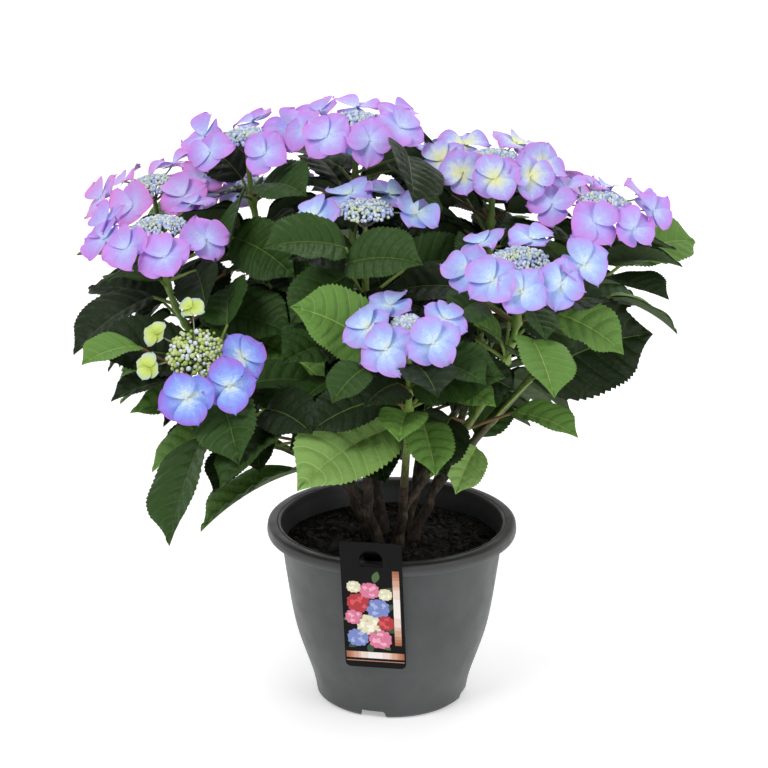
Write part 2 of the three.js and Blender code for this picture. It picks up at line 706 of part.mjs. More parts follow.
function add(name, solid, material) {
  const mesh = new THREE.Mesh(geometryFrom(solid), new THREE.MeshStandardMaterial(material));
  mesh.name = name;
  plant.add(mesh);
  return solid;
}

// Everything takes its space in turn: pot, limbs, stems and heads, then the largest leaves, then the
// pairs. No leaf may touch what was there before it.
const built = [
  add("pot", pot(), MATERIALS.pot),
  add("soil", soil(), MATERIALS.soil),
  add("plant_label", label(), MATERIALS.label),
];
const stems = new Map();
const grown = [];
for (const limb of Object.keys(LIMBS)) {
  const shoots = SHOOTS.filter((shoot) => shoot.limb === limb);
  built.push(add("woody_" + limb, woodyLimb(limb, shoots), MATERIALS.bark));
}
for (const shoot of SHOOTS) {
  shoot.route = routeOf(shoot);
  stems.set(shoot, stretch(shoot.route, WOODY_UNTIL, 1, 10, 6));
}
SHOOTS.forEach((shoot, index) => {
  const head = flowerHead(shoot, index, [...built, ...others(stems, shoot)]);
  built.push(add("flowers_" + shoot.name, head, MATERIALS.flower));
});
const largest = SHOOTS.flatMap((shoot) => largestOf(shoot).map((row) => ({ shoot, row })));
largest.sort((a, b) => b.row.length - a.row.length);
for (const { shoot, row } of largest) growLeaf(shoot, row, NUDGE_STEP, { built, stems, grown });
SHOOTS.forEach((shoot, index) => {
  for (const row of pairsOf(shoot, index)) growLeaf(shoot, row, TURN_STEP, { built, stems, grown });
});

// A shoot is its bare stem up to where it enters its mass of leaves, and the mass on its own stem.
for (const shoot of SHOOTS) {
  const own = grown.filter((made) => made.shoot === shoot);
  const lowest = Math.min(...own.map((made) => made.share));
  const entry = Math.max(lowest - 0.05, WOODY_UNTIL + 0.06);
  const steps = Math.ceil((entry - WOODY_UNTIL) * 10) + 1;
  add("stem_" + shoot.name, stretch(shoot.route, WOODY_UNTIL, entry, steps, 6), MATERIALS.stem);
  const upper = stretch(shoot.route, entry, 1, 7, 5);
  add("leaves_" + shoot.name, join([upper, ...own.map((made) => made.solid)]), MATERIALS.leaf);
}

export default plant;
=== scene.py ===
"""Looks of a potted lacecap hydrangea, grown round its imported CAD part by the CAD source's own rule.

The rule and the shapes below work in millimetres. Heap.build turns them into Blender meshes in metres.
"""

import math

import bmesh
import bpy
import numpy as np
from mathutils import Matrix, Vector
from mathutils.bvhtree import BVHTree


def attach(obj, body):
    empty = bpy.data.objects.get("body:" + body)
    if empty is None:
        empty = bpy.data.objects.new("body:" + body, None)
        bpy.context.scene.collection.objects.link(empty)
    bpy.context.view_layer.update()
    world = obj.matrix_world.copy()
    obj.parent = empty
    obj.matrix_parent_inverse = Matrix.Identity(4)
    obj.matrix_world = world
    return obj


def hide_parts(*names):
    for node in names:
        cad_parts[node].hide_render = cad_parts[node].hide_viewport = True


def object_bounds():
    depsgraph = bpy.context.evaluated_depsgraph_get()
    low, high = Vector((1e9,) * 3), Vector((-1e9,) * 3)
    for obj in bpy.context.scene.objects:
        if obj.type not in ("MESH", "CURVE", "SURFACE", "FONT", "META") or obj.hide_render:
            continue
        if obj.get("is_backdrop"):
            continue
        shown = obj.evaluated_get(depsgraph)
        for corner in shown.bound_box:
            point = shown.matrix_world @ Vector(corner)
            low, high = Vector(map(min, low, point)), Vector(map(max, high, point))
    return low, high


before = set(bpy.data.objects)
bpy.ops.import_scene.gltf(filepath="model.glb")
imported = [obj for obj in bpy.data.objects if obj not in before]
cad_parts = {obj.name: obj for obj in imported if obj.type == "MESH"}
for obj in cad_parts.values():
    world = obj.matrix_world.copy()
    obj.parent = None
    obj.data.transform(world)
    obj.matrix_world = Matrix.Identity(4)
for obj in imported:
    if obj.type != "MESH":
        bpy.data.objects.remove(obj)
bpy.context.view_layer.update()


def corners():
    return [list(corner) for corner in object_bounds()]


MM = 0.001
UP = np.array([0.0, 0.0, 1.0])
FLAT = np.array([1.0, 1.0, 0.0])   # times a vector gives it laid flat

# ---- growth of the shrub, as in the CAD source
GAP = 0.4                     # between two parts that stand on each other
SOIL_TOP = 172
FOOT_DISTANCE = 22            # of a woody limb's foot from the middle of the pot
FORK_DISTANCE = 40
FORK_RISE = 48                # height of the fork above the soil
FOOT_RADIUS = 6.6
FORK_RADIUS = 5
WOODY_UNTIL = 0.14            # share of a shoot that is woody and belongs to its limb
STEM_RADIUS = 4.6             # green stem at the fork
STEM_THINNING = 1.9           # less by this much at the tip
STALK = 30                    # from a shoot's last node to the middle of its flower head
START_UP, START_OUT = 0.85, 0.55   # how steeply a shoot leaves the fork
END_UP = 0.9                  # how steeply it comes to its head, over the head's own axis
HANDLE = 0.36                 # length of its curve's handles, over its reach
LENGTH_POINTS = 201           # that a shoot's length is measured along
COARSE_STEPS, COARSE_SIDES = 10, 6   # of a coarse stem

LIMBS = {"west": 175, "south_west": 233, "south": 287, "east": 355, "north_east": 50, "north": 112}

ALL_ROUND = [0, 51, 103, 154, 206, 257, 309]


def shoot(name, limb, head, lean, tilt, ring, florets, pairs, leaves=(), small=(),
          petals="violet", buds="blue"):
    """One shoot, the azimuths of its open florets and of small ones, and its largest leaves, with the
    swing of each petiole and the tone of each blade, partly its own green, partly painted light and
    shade."""
    keys = ("share", "azimuth", "pitch", "length", "petiole", "roll", "swing", "tone")
    return {
        "name": name, "limb": limb, "head": np.array(head, float), "lean": lean, "tilt": tilt,
        "ring": ring, "florets": florets, "small": small, "pairs": pairs,
        "petals": petals, "buds": buds, "leaves": [dict(zip(keys, row)) for row in leaves],
    }


SHOOTS = [
    shoot("far_left", "west", (-250, 100, 525), 215, 10, 52, [185, 250, 310, 5, 70, 130], 4,
          petals="pink"),
    shoot("left", "west", (-234, -22, 514), 240, 9, 60, [195, 240, 280, 325, 160, 100, 60], 2,
          [(0.84, 210, -28, 103, 24, -20, -30, 0), (0.96, 319, -17, 90, 78, 20, 60, 1),
           (0.92, 280, -10, 85, 36, 0, 60, 0)]),
    shoot("low_left", "south_west", (-190, -170, 430), 262, 42, 50, [300, 262, 350], 1,
          [(0.96, 296, -37, 104, 12, 0, 45, 1), (0.54, 250, -43, 124, 78, 14, -30, 1),
           (0.82, 202, 11, 110, 48, -30, -75, 0), (0.62, 27, 3, 142, 24, 30, -15, 1),
           (0.6, 229, -21, 105, 72, 20, 75, 1), (0.94, 91, 11, 85, 66, 0, -30, 1),
           (0.2, 212, -20, 126, 54, 25, 15, 2), (0.92, 221, -3, 70, 76, -20, -45, 2)],
          small=[200, 140, 95], petals="deep", buds="green"),
    shoot("top_left", "north", (-150, 70, 585), 235, 8, 46, [170, 225, 300, 0, 80], 4),
    shoot("top", "north", (-38, 55, 604), 262, 6, 52, [190, 235, 290, 345, 35, 90, 140], 4,
          [(0.94, 273, -12, 105, 78, 0, 45, 0), (0.8, 115, 8, 80, 50, 0, 0, 0),
           (0.92, 280, -18, 94, 52, 0, 30, 1)]),
    shoot("centre", "south_west", (-27, -70, 545), 265, 7, 52, [183, 355, 110, 65], 3,
          [(0.8, 326, 9, 92, 78, 0, -75, 1), (0.86, 216, 11, 90, 78, 0, 45, 1),
           (0.52, 253, -24, 77, 36, 0, 75, 1)],
          petals="blue"),
    shoot("front", "south", (14, -200, 468), 262, 20, 38, [180, 238, 305, 20, 110], 1,
          [(0.66, 194, 31, 101, 78, -15, -15, 2), (0.58, 223, -15, 130, 24, 0, 0, 3),
           (0.82, 333, 14, 98, 12, 10, -60, 1), (0.62, 281, -27, 72, 18, 0, 45, 2)], petals="blue"),
    shoot("top_right", "east", (104, 35, 569), 285, 9, 50, [180, 225, 268, 310, 0, 60, 120], 4,
          [(0.92, 32, 5, 88, 20, 10, 75, 1), (0.84, 78, 3, 88, 68, 0, 45, 1),
           (0.96, 113, 9, 64, 72, 0, 45, 2)],
          petals="young"),
    shoot("right_front", "south", (124, -130, 512), 265, 9, 60, [205, 238, 270, 310, 345, 80, 130], 1,
          [(0.32, 242, -37, 58, 48, 0, 60, 3), (0.4, 330, -10, 76, 56, 0, 15, 2),
           (0.74, 234, 31, 58, 24, 0, 0, 2),
           (0.94, 285, -18, 60, 18, 0, 15, 1), (0.36, 249, -16, 70, 12, 0, 0, 2),
           (0.88, 246, -2, 70, 44, 0, -60, 1), (0.44, 252, -24, 85, 20, 0, -60, 0)], petals="blue"),
    shoot("right", "east", (215, 0, 532), 300, 10, 52, [190, 250, 305, 350, 40, 90, 140], 1,
          [(0.3, 23, 13, 144, 72, 35, -60, 0), (0.8, 31, 0, 84, 66, 20, -15, 2),
           (0.82, 319, 2, 98, 12, 25, -30, 0), (0.7, 337, 11, 75, 78, 50, 60, 2),
           (0.88, 336, 5, 87, 12, -15, 15, 1), (0.2, 65, 22, 70, 12, 0, 0, 1)]),
    shoot("back_left", "west", (-150, 190, 500), 120, 18, 54, ALL_ROUND, 5),
    shoot("back", "north", (5, 205, 530), 90, 14, 56, ALL_ROUND, 5, petals="blue"),
    shoot("back_right", "north_east", (170, 165, 505), 50, 18, 54, ALL_ROUND, 5, petals="pink"),
    shoot("low_back", "north_east", (70, 255, 425), 80, 38, 48, [0, 60, 120, 180, 240, 300], 5),
]

PAIR_AT = [0.9, 0.77, 0.63, 0.49, 0.36]
PAIR_TURN = 90                # each pair stands across the one below
PAIR_LENGTH = 104
TOP_PAIR_LENGTH = 80
PAIR_PITCH = 12               # of the top pair, less by PAIR_DROP for each pair below
PAIR_DROP = 9
PAIR_SPREAD = {"share": 0.02, "azimuth": 30, "pitch": 16, "length": 22, "roll": 24}
PAIR_PETIOLE = (16, 20)       # the shortest, and how much more it may be

# Smaller leaves of side shoots, which the CAD source has no room for, in levels of three
SIDE_LEVELS = 9
SIDE_LEAVES = 3
SIDE_FROM, SIDE_TO = 0.22, 0.9
SIDE_LENGTH = 74
SIDE_PITCH = (2, -26)
SIDE_PETIOLE = (14, 50)
SIDE_SPREAD = {"share": 0.03, "azimuth": 30, "roll": 30, "swing": 40}
SIDE_REACH = 300              # no tip is further out from the pot's axis
BARE_UNTIL = {"right_front": 0.66, "right": 0.62, "front": 0.5, "top_right": 0.42, "low_left": 0.4}
SIDE_SEED = 90000             # of the random draws of the side shoots
TRIES = 8
TURN_STEP = 14                # degrees that a leaf of a pair is turned from try to try
NUDGE_STEP = 5                # the same for a shoot's largest leaves
DROP_SHARE = 0.2              # how far each try drops the leaf, over its turn

LEAF_WIDTH = 0.35             # half width over length
LEAF_FOLD = 16                # degrees that each half rises from the midrib
LEAF_BEND = 34                # degrees that the midrib bends down from base to tip
LEAF_HALF_THICKNESS = 0.8
LEAF_STATIONS = [0.16, 0.45, 0.76]
LEAF_CLEARANCE = 1.3
PETIOLE_SUNK = 1.6            # a petiole starts this far from the middle of its stem
PETIOLE_RADIUS = 1.9
PETIOLE_TOP_RADIUS = 1.5
LIGHT_UP, LIGHT_OUT = 0.72, 0.6   # leaves face up, and out from the plant's middle, this much

CORE_RINGS, CORE_SIDES = 3, 7
DOME_RADIUS = 27
STALK_RADIUS = 2.7
NECK = 15                     # depth of the stalk's top under the head's middle

FLORET_RADIUS = 23
FLORET_RELIEF = 0.2           # how far the edge stands above the middle, over the radius
FLORET_OUT = 0.6              # how much a floret faces out from its head
FLORET_DROOP = 0.55           # how much it faces the way its head leans
FLORET_DEPTH = 2.5            # thickness under its middle
SMALL_FLORET = 0.5
SEPAL_NOTCH = 0.7             # radius between two sepals, over the floret's
SEPAL_SHOULDER = 27           # degrees from the notch to a sepal's corner
PEDICEL_RADIUS = 1.5


# ---- vectors and chance
def heading(azimuth, pitch=0.0):
    a, p = math.radians(azimuth), math.radians(pitch)
    return np.array([math.cos(a) * math.cos(p), math.sin(a) * math.cos(p), math.sin(p)])


def unit(v):
    return v / np.linalg.norm(v, axis=-1, keepdims=True)


def across(axis, hint):
    return unit(np.cross(axis, hint))


def square(direction, axis):
    """The direction square to an axis that lies nearest to a given one."""
    return unit(direction - axis * np.dot(direction, axis))


def turned(v, axis, angle):
    """v turned about a unit axis. v and axis may be rows of vectors."""
    along = np.sum(v * axis, axis=-1, keepdims=True) * axis
    return along + (v - along) * math.cos(angle) + np.cross(axis, v) * math.sin(angle)


def chance(seed):
    """The same run of numbers from 0 to 1 for the same seed."""
    mask = 0xFFFFFFFF
    state = seed & mask

    def draw():
        nonlocal state
        state = (state + 0x6D2B79F5) & mask
        mixed = ((state ^ (state >> 15)) * (state | 1)) & mask
        mixed ^= (mixed + (mixed ^ (mixed >> 7)) * (mixed | 61)) & mask
        return ((mixed ^ (mixed >> 14)) & mask) / 4294967296

    return draw


def around(draw, middle, spread):
    """A random number within half a spread of the middle."""
    return middle + spread * (draw() - 0.5)


def grid_of(draw, rows, columns):
    """Random numbers from 0 to 1 in rows."""
    return np.array([[draw() for _ in range(columns)] for _ in range(rows)])


def bezier(ends, t):
    """Points of the cubic curve with these four control points."""
    a, b, c, d = ends
    return a * (1 - t) ** 3 + b * 3 * t * (1 - t) ** 2 + c * 3 * t * t * (1 - t) + d * t ** 3


# ---- coarse shapes, for spacing
class Shape:
    """A closed shape that others keep clear of."""

    def __init__(self, points, faces):
        self.low, self.high = points.min(0), points.max(0)
        rings = [list(map(int, f)) for f in faces]
        self.tree = BVHTree.FromPolygons([Vector(p) for p in points], rings)

    def touches(self, others):
        return any(
            (self.low <= other.high).all() and (other.low <= self.high).all()
            and self.tree.overlap(other.tree)
            for other in others
        )


def skin(rings):
    """Points and triangles of one closed skin over rings of points, as the CAD source lays it."""
    faces, start = [], 0
    for ring, following in zip(rings, rings[1:]):
        here, there = len(ring), len(following)
        then = start + here
        if here == there:
            for k in range(here):
                a, b, c, d = start + k, start + (k + 1) % here, then + (k + 1) % here, then + k
                faces += [(a, b, d), (b, c, d)] if k % 2 else [(a, b, c), (a, c, d)]
        elif there == 1:
            faces += [(start + k, start + (k + 1) % here, then) for k in range(here)]
        else:
            share = there // here
            faces += [(start + k // share, then + (k + 1) % there, then + k) for k in range(there)]
            if here > 1:
                faces += [(start + k, start + (k + 1) % here, then + (k + 1) * share % there)
                          for k in range(here)]
        start = then
    first, last = len(rings[0]), len(rings[-1])
    faces += [(0, k + 1, k) for k in range(1, first - 1)]
    faces += [(start, start + k, start + k + 1) for k in range(1, last - 1)]
    return np.concatenate([np.atleast_2d(ring) for ring in rings]), faces


def ring_round(centre, axis, side, radius, sides):
    """Points round a centre, square to an axis; side is the direction of the first."""
    turn = np.linspace(0, 2 * math.pi, sides, endpoint=False)[:, None]
    return centre + radius * (side * np.cos(turn) + np.cross(axis, side) * np.sin(turn))


def node_shape(name):
    """A CAD node as a shape in millimetres."""
    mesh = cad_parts[name].data
    points = np.array([v.co for v in mesh.vertices]) / MM
    return Shape(points, [p.vertices for p in mesh.polygons])


# ---- limbs and stems
def foot_of(limb):
    return heading(LIMBS[limb]) * FOOT_DISTANCE + UP * (SOIL_TOP + GAP)


def fork_of(limb):
    return heading(LIMBS[limb]) * FORK_DISTANCE + UP * (SOIL_TOP + FORK_RISE)


def head_axis(s):
    return heading(s["lean"], 90 - s["tilt"])


class Route:
    """A shoot's curve: it leaves the fork steeply and turns to stand under its flower head."""

    def __init__(self, s):
        fork, axis = fork_of(s["limb"]), head_axis(s)
        tip = s["head"] - STALK * axis
        span = tip - fork
        reach = np.linalg.norm(span)
        start = unit(START_UP * UP + START_OUT * unit(span * FLAT))
        end = unit(axis + END_UP * UP)
        self.ends = [fork, fork + HANDLE * reach * start, tip - HANDLE * reach * end, tip]
        steps = self.point(np.linspace(0, 1, LENGTH_POINTS)[:, None])
        self.length = np.linalg.norm(np.diff(steps, axis=0), axis=1).sum()

    def point(self, t):
        return bezier(self.ends, t)

    def tangent(self, t):
        a, b, c, d = self.ends
        return unit((b - a) * (1 - t) ** 2 + (c - b) * 2 * t * (1 - t) + (d - c) * t * t)


def stem_radius(share):
    return STEM_RADIUS - STEM_THINNING * share


def green_stem(route):
    """The green part of a shoot, coarse."""
    rings = []
    for share in np.linspace(WOODY_UNTIL, 1, COARSE_STEPS + 1):
        along = route.tangent(share)
        side = square(heading(0), along)
        rings.append(ring_round(route.point(share), along, side, stem_radius(share), COARSE_SIDES))
    return Shape(*skin(rings))


# ---- leaves
def leaf_of(route, row):
    """A leaf's base, set off from the stem by its petiole, which rises less under a drooping blade."""
    pitch = row["pitch"]
    rise = max(20, pitch + 35) if pitch > -30 else 15
    node = route.point(row["share"])
    base = node + row["petiole"] * heading(row["azimuth"] + row["swing"], rise)
    return {**row, "node": node, "base": base}


def blade_outline(s):
    """Half width along the midrib, as a share of the widest."""
    s = np.clip(s, 0, 1)
    return 2.491 * s ** 0.55 * (1 - s) ** 0.8


def midrib(leaf, s):
    """The midrib's points at shares s, with the directions to the blade's side and its upper face."""
    s = np.asarray(s, float)[..., None]
    start, bend = math.radians(leaf["pitch"] + LEAF_BEND / 2), math.radians(LEAF_BEND)
    here = start - bend * s
    ahead = heading(leaf["azimuth"])
    run = (math.sin(start) - np.sin(here)) / bend * leaf["length"]
    rise = (np.cos(here) - math.cos(start)) / bend * leaf["length"]
    point = leaf["base"] + ahead * run + UP * rise
    along = ahead * np.cos(here) + UP * np.sin(here)
    light = LIGHT_UP * UP + LIGHT_OUT * unit(leaf["base"] * FLAT)
    side = turned(across(light, along), along, math.radians(leaf["roll"]))
    return point, side, np.cross(along, side)


def blade_rings(leaf, half_thickness, widen=0.0):
    rings = []
    for s in LEAF_STATIONS:
        point, side, upper = midrib(leaf, s)
        edge = leaf["length"] * LEAF_WIDTH * blade_outline(s) + widen
        fold = math.radians(LEAF_FOLD)
        out, rise = side * edge * math.cos(fold), upper * edge * math.sin(fold)
        thick = upper * half_thickness
        rings.append(np.array([point + thick, point - out + rise, point - thick, point + out + rise]))
    return rings


def petiole_rings(leaf):
    along = unit(leaf["base"] - leaf["node"])
    side = across(along, across(heading(leaf["azimuth"]), UP))
    root = leaf["node"] + PETIOLE_SUNK * along
    return [ring_round(root, along, side, PETIOLE_RADIUS, 4),
            ring_round(leaf["base"], along, side, PETIOLE_TOP_RADIUS, 4)]


def blade_space(leaf):
    """The blade alone, swollen by the space that it keeps clear."""
    rings = blade_rings(leaf, LEAF_HALF_THICKNESS + LEAF_CLEARANCE, LEAF_CLEARANCE)
    base, tip = midrib(leaf, 0)[0], midrib(leaf, 1)[0]
    return Shape(*skin([base[None, :], *rings, tip[None, :]]))


def whole_leaf(leaf):
    tip = midrib(leaf, 1)[0]
    return Shape(*skin([*petiole_rings(leaf), *blade_rings(leaf, LEAF_HALF_THICKNESS), tip[None, :]]))


def pairs_of(s, index):
    """The pairs of a shoot from its top down, each leaf with its seeded size and bearing."""
    phase = 360 * chance(100 + index)()
    rows = []
    for level, share in enumerate(PAIR_AT[:s["pairs"]]):
        for side in (0, 1):
            draw = chance(1000 * (index + 1) + 10 * level + side)
            azimuth = phase + PAIR_TURN * level + 180 * side
            length = PAIR_LENGTH if level else TOP_PAIR_LENGTH
            rows.append({
                "share": around(draw, share, PAIR_SPREAD["share"]),
                "azimuth": around(draw, azimuth, PAIR_SPREAD["azimuth"]),
                "pitch": around(draw, PAIR_PITCH - PAIR_DROP * level, PAIR_SPREAD["pitch"]),
                "length": around(draw, length, PAIR_SPREAD["length"]),
                "petiole": PAIR_PETIOLE[0] + PAIR_PETIOLE[1] * draw(),
                "roll": around(draw, 0, PAIR_SPREAD["roll"]),
                "swing": 0,
            })
    return rows


def side_shoots_of(s, index):
    """Smaller leaves of a shoot's side shoots, all round it between its pairs."""
    rows = []
    bare = BARE_UNTIL.get(s["name"], 0)
    for level in range(SIDE_LEVELS):
        draw = chance(SIDE_SEED + 1000 * index + level)
        share = SIDE_FROM + (SIDE_TO - SIDE_FROM) * level / (SIDE_LEVELS - 1)
        if share < bare:
            continue
        start = 360 * draw()
        for k in range(SIDE_LEAVES):
            rows.append({
                "share": around(draw, share, SIDE_SPREAD["share"]),
                "azimuth": around(draw, start + 360 * k / SIDE_LEAVES, SIDE_SPREAD["azimuth"]),
                "pitch": SIDE_PITCH[0] + SIDE_PITCH[1] * draw(),
                "length": SIDE_LENGTH * (0.75 + 0.5 * draw()),
                "petiole": SIDE_PETIOLE[0] + SIDE_PETIOLE[1] * draw(),
                "roll": around(draw, 0, SIDE_SPREAD["roll"]),
                "swing": around(draw, 0, SIDE_SPREAD["swing"]),
            })
    return rows


def grow_leaf(s, row, step, fixed, stems, grown, reach=math.inf):
    """The leaf is turned and dropped step by step until it is clear of all that is there and inside
    the plant's reach. One that finds no room is left out."""
    for i in range(TRIES):
        turn = step * math.ceil(i / 2) * (1 if i % 2 else -1)
        azimuth, pitch = row["azimuth"] + turn, row["pitch"] - DROP_SHARE * step * i
        leaf = leaf_of(s["route"], {**row, "azimuth": azimuth, "pitch": pitch})
        if np.linalg.norm(midrib(leaf, 1)[0][:2]) > reach:
            continue
        stalk, space = Shape(*skin(petiole_rings(leaf))), blade_space(leaf)
        other_stems = [stem for name, stem in stems.items() if name != s["name"]]
        neighbours = [g["space"] if g["shoot"] is s else g["shape"] for g in grown]
        if stalk.touches([*fixed, *other_stems, *neighbours]):
            continue
        if space.touches([*fixed, *stems.values(), *(g["shape"] for g in grown)]):
            continue
        grown.append({"shoot": s, "leaf": leaf, "shape": whole_leaf(leaf), "space": space})
        return


def grow_leaves():
    """All leaves: the largest ones first, longest first, then the pairs, then the side shoots'."""
    fixed = [node_shape(name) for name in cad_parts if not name.startswith(("stem_", "leaves_"))]
    stems = {s["name"]: green_stem(s["route"]) for s in SHOOTS}
    grown = []
    largest = [(s, row) for s in SHOOTS for row in s["leaves"]]
    for s, row in sorted(largest, key=lambda pair: -pair[1]["length"]):
        grow_leaf(s, row, NUDGE_STEP, fixed, stems, grown)
    for rows_of, reach in ((pairs_of, math.inf), (side_shoots_of, SIDE_REACH)):
        for index, s in enumerate(SHOOTS):
            for row in rows_of(s, index):
                grow_leaf(s, row, TURN_STEP, fixed, stems, grown, reach)
    return grown


# ---- meshes
def put(name, data):
    """A new object in the scene."""
    made = bpy.data.objects.new(name, data)
    bpy.context.scene.collection.objects.link(made)
    return made


class Heap:
    """Points and faces gathered for one mesh, every face with the number of its material."""

    def __init__(self):
        self.points, self.corners, self.sizes, self.tones = [], [], [], []
        self.count = 0

    def add(self, points, faces, tones=0):
        points, faces = np.asarray(points, float).reshape(-1, 3), np.asarray(faces)
        self.points.append(points)
        self.corners.append((faces + self.count).ravel())
        self.sizes.append(np.full(len(faces), faces.shape[1]))
        self.tones.append(np.broadcast_to(tones, len(faces)))
        self.count += len(points)

    def build(self, name, slot, materials, nodes):
        """The mesh, in metres, as a piece that rides on the plant's body in place of some nodes."""
        points = np.concatenate(self.points) * MM
        corners, sizes = np.concatenate(self.corners), np.concatenate(self.sizes)
        mesh = bpy.data.meshes.new(name)
        mesh.vertices.add(len(points))
        mesh.vertices.foreach_set("co", points.ravel())
        mesh.loops.add(len(corners))
        mesh.loops.foreach_set("vertex_index", corners.astype(np.int32))
        mesh.polygons.add(len(sizes))
        starts = np.concatenate([[0], np.cumsum(sizes)[:-1]])
        mesh.polygons.foreach_set("loop_start", starts.astype(np.int32))
        mesh.polygons.foreach_set("material_index", np.concatenate(self.tones).astype(np.int32))
        mesh.polygons.foreach_set("use_smooth", np.ones(len(sizes), bool))
        for material in materials:
            mesh.materials.append(material)
        mesh.update()
        mesh.validate()
        piece = put(name, mesh)
        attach(piece, "root")
        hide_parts(*nodes)
        return piece


def lattice(rows, columns, closed=False):
    """Quads between rows of points; closed rows are rings."""
    wide = columns if closed else columns - 1
    row, column = np.meshgrid(np.arange(rows - 1), np.arange(wide), indexing="ij")
    a = row * columns + column
    b = row * columns + (column + 1) % columns
    return np.stack([a, b, b + columns, a + columns], axis=-1).reshape(-1, 4)


def tube(points, radii, sides):
    """Rings of points round a path, each square to it and not twisted."""
    points = np.asarray(points, float)
    along = unit(np.gradient(points, axis=0))
    hint = np.array([1.0, 0, 0]) if abs(along[0][2]) > 0.9 else UP
    side = across(along[0], hint)
    rings = []
    for point, direction, radius in zip(points, along, np.broadcast_to(radii, len(points))):
        side = square(side, direction)
        rings.append(ring_round(point, direction, side, radius, sides))
    return np.array(rings)


def fan(sides):
    """Triangles that fill a ring."""
    return [[0, k, k + 1] for k in range(1, sides - 1)]


def add_tube(heap, points, radii, sides, tone=0):
    """A tube round a path, closed at its end."""
    rings = tube(points, radii, sides)
    heap.add(rings, lattice(len(rings), sides, closed=True), tone)
    heap.add(rings[-1], fan(sides), tone)


def bead_of(segments, rings):
    """Points and faces of a bead of radius 1 round the origin."""
    pitch = np.linspace(-math.pi / 2, math.pi / 2, rings + 1)[1:-1]
    turn = np.linspace(0, 2 * math.pi, segments, endpoint=False)
    belt = np.stack([np.outer(np.cos(pitch), np.cos(turn)), np.outer(np.cos(pitch), np.sin(turn)),
                     np.outer(np.sin(pitch), np.ones(segments))], axis=-1).reshape(-1, 3)
    points = np.concatenate([belt, [[0, 0, -1], [0, 0, 1]]])
    bottom, top = len(belt), len(belt) + 1
    faces = []
    for quad in lattice(rings - 1, segments, closed=True):
        a, b, c, d = quad
        faces += [(a, b, c), (a, c, d)]
    last = (rings - 2) * segments
    for k in range(segments):
        after = (k + 1) % segments
        faces += [(bottom, after, k), (last + k, last + after, top)]
    return points, np.array(faces)


# ---- materials
def srgb(r, g, b):
    """A colour given as it looks on screen, 0 to 255, as Blender's linear colour."""
    def linear(v):
        v /= 255
        return v / 12.92 if v <= 0.04045 else ((v + 0.055) / 1.055) ** 2.4
    return (linear(r), linear(g), linear(b), 1.0)


class Look:
    """A material with its nodes at hand."""

    def __init__(self, name, colour, roughness, **sockets):
        self.material = bpy.data.materials.new(name)
        self.material.use_nodes = True
        self.tree = self.material.node_tree
        self.shader = self.tree.nodes["Principled BSDF"]
        self.shader.inputs["Base Color"].default_value = colour
        self.shader.inputs["Roughness"].default_value = roughness
        for key, value in sockets.items():
            self.shader.inputs[key.replace("_", " ")].default_value = value
        self.place = self.node("ShaderNodeTexCoord").outputs["Object"]

    def node(self, kind, **settings):
        node = self.tree.nodes.new(kind)
        for key, value in settings.items():
            setattr(node, key, value)
        return node

    def link(self, output, target):
        self.tree.links.new(output, target)

    def noise(self, size, detail=3.0, roughness=0.55, stretch=(1, 1, 1)):
        """Cloudy noise with lumps of a size in millimetres."""
        place = self.node("ShaderNodeMapping")
        place.inputs["Scale"].default_value = [1 / s for s in stretch]
        self.link(self.place, place.inputs["Vector"])
        noise = self.node("ShaderNodeTexNoise")
        noise.inputs["Scale"].default_value = 1 / (size * MM)
        noise.inputs["Detail"].default_value = detail
        noise.inputs["Roughness"].default_value = roughness
        self.link(place.outputs["Vector"], noise.inputs["Vector"])
        return noise.outputs["Fac"]

    def cells(self, size, feature="F1"):
        """Distances in a pattern of cells of a size in millimetres."""
        cells = self.node("ShaderNodeTexVoronoi", feature=feature)
        cells.inputs["Scale"].default_value = 1 / (size * MM)
        self.link(self.place, cells.inputs["Vector"])
        return cells.outputs["Distance"]

    def height(self, low, high):
        """How high a place is, from 0 to 1 between two heights in millimetres."""
        parts = self.node("ShaderNodeSeparateXYZ")
        self.link(self.place, parts.inputs["Vector"])
        level = self.node("ShaderNodeMapRange")
        level.inputs["From Min"].default_value = low * MM
        level.inputs["From Max"].default_value = high * MM
        self.link(parts.outputs["Z"], level.inputs["Value"])
        return level.outputs["Result"]

    def ramp(self, value, *stops):
        """Colours or greys along a value, given as (place, colour)."""
        ramp = self.node("ShaderNodeValToRGB")
        elements = ramp.color_ramp.elements
        while len(elements) < len(stops):
            elements.new(0.5)
        for element, (place, colour) in zip(elements, stops):
            element.position = place
            element.color = colour if isinstance(colour, tuple) else (colour, colour, colour, 1)
        self.link(value, ramp.inputs["Fac"])
        return ramp.outputs["Color"]

    def mix(self, amount, a, b):
        mix = self.node("ShaderNodeMix", data_type="RGBA")
        self.link(amount, mix.inputs["Factor"])
        self.link(a, mix.inputs["A"])
        self.link(b, mix.inputs["B"])
        return mix.outputs["Result"]

    def bump(self, height, depth, strength=1.0, under=None):
        """A bump of a depth in millimetres, over another one."""
        bump = self.node("ShaderNodeBump")
        bump.inputs["Strength"].default_value = strength
        bump.inputs["Distance"].default_value = depth * MM
        self.link(height, bump.inputs["Height"])
        if under is not None:
            self.link(under, bump.inputs["Normal"])
        self.link(bump.outputs["Normal"], self.shader.inputs["Normal"])
        return bump.outputs["Normal"]

    def colour(self, output):
        self.link(output, self.shader.inputs["Base Color"])

    def roughness(self, output):
        self.link(output, self.shader.inputs["Roughness"])


def plain_look(name, tone, roughness, grain, depth, strength=0.4, detail=3.0, **sockets):
    """One colour, with a fine grain of bumps."""
    look = Look(name, srgb(*tone), roughness, **sockets)
    look.bump(look.noise(grain, detail), depth, strength)
    return look.material
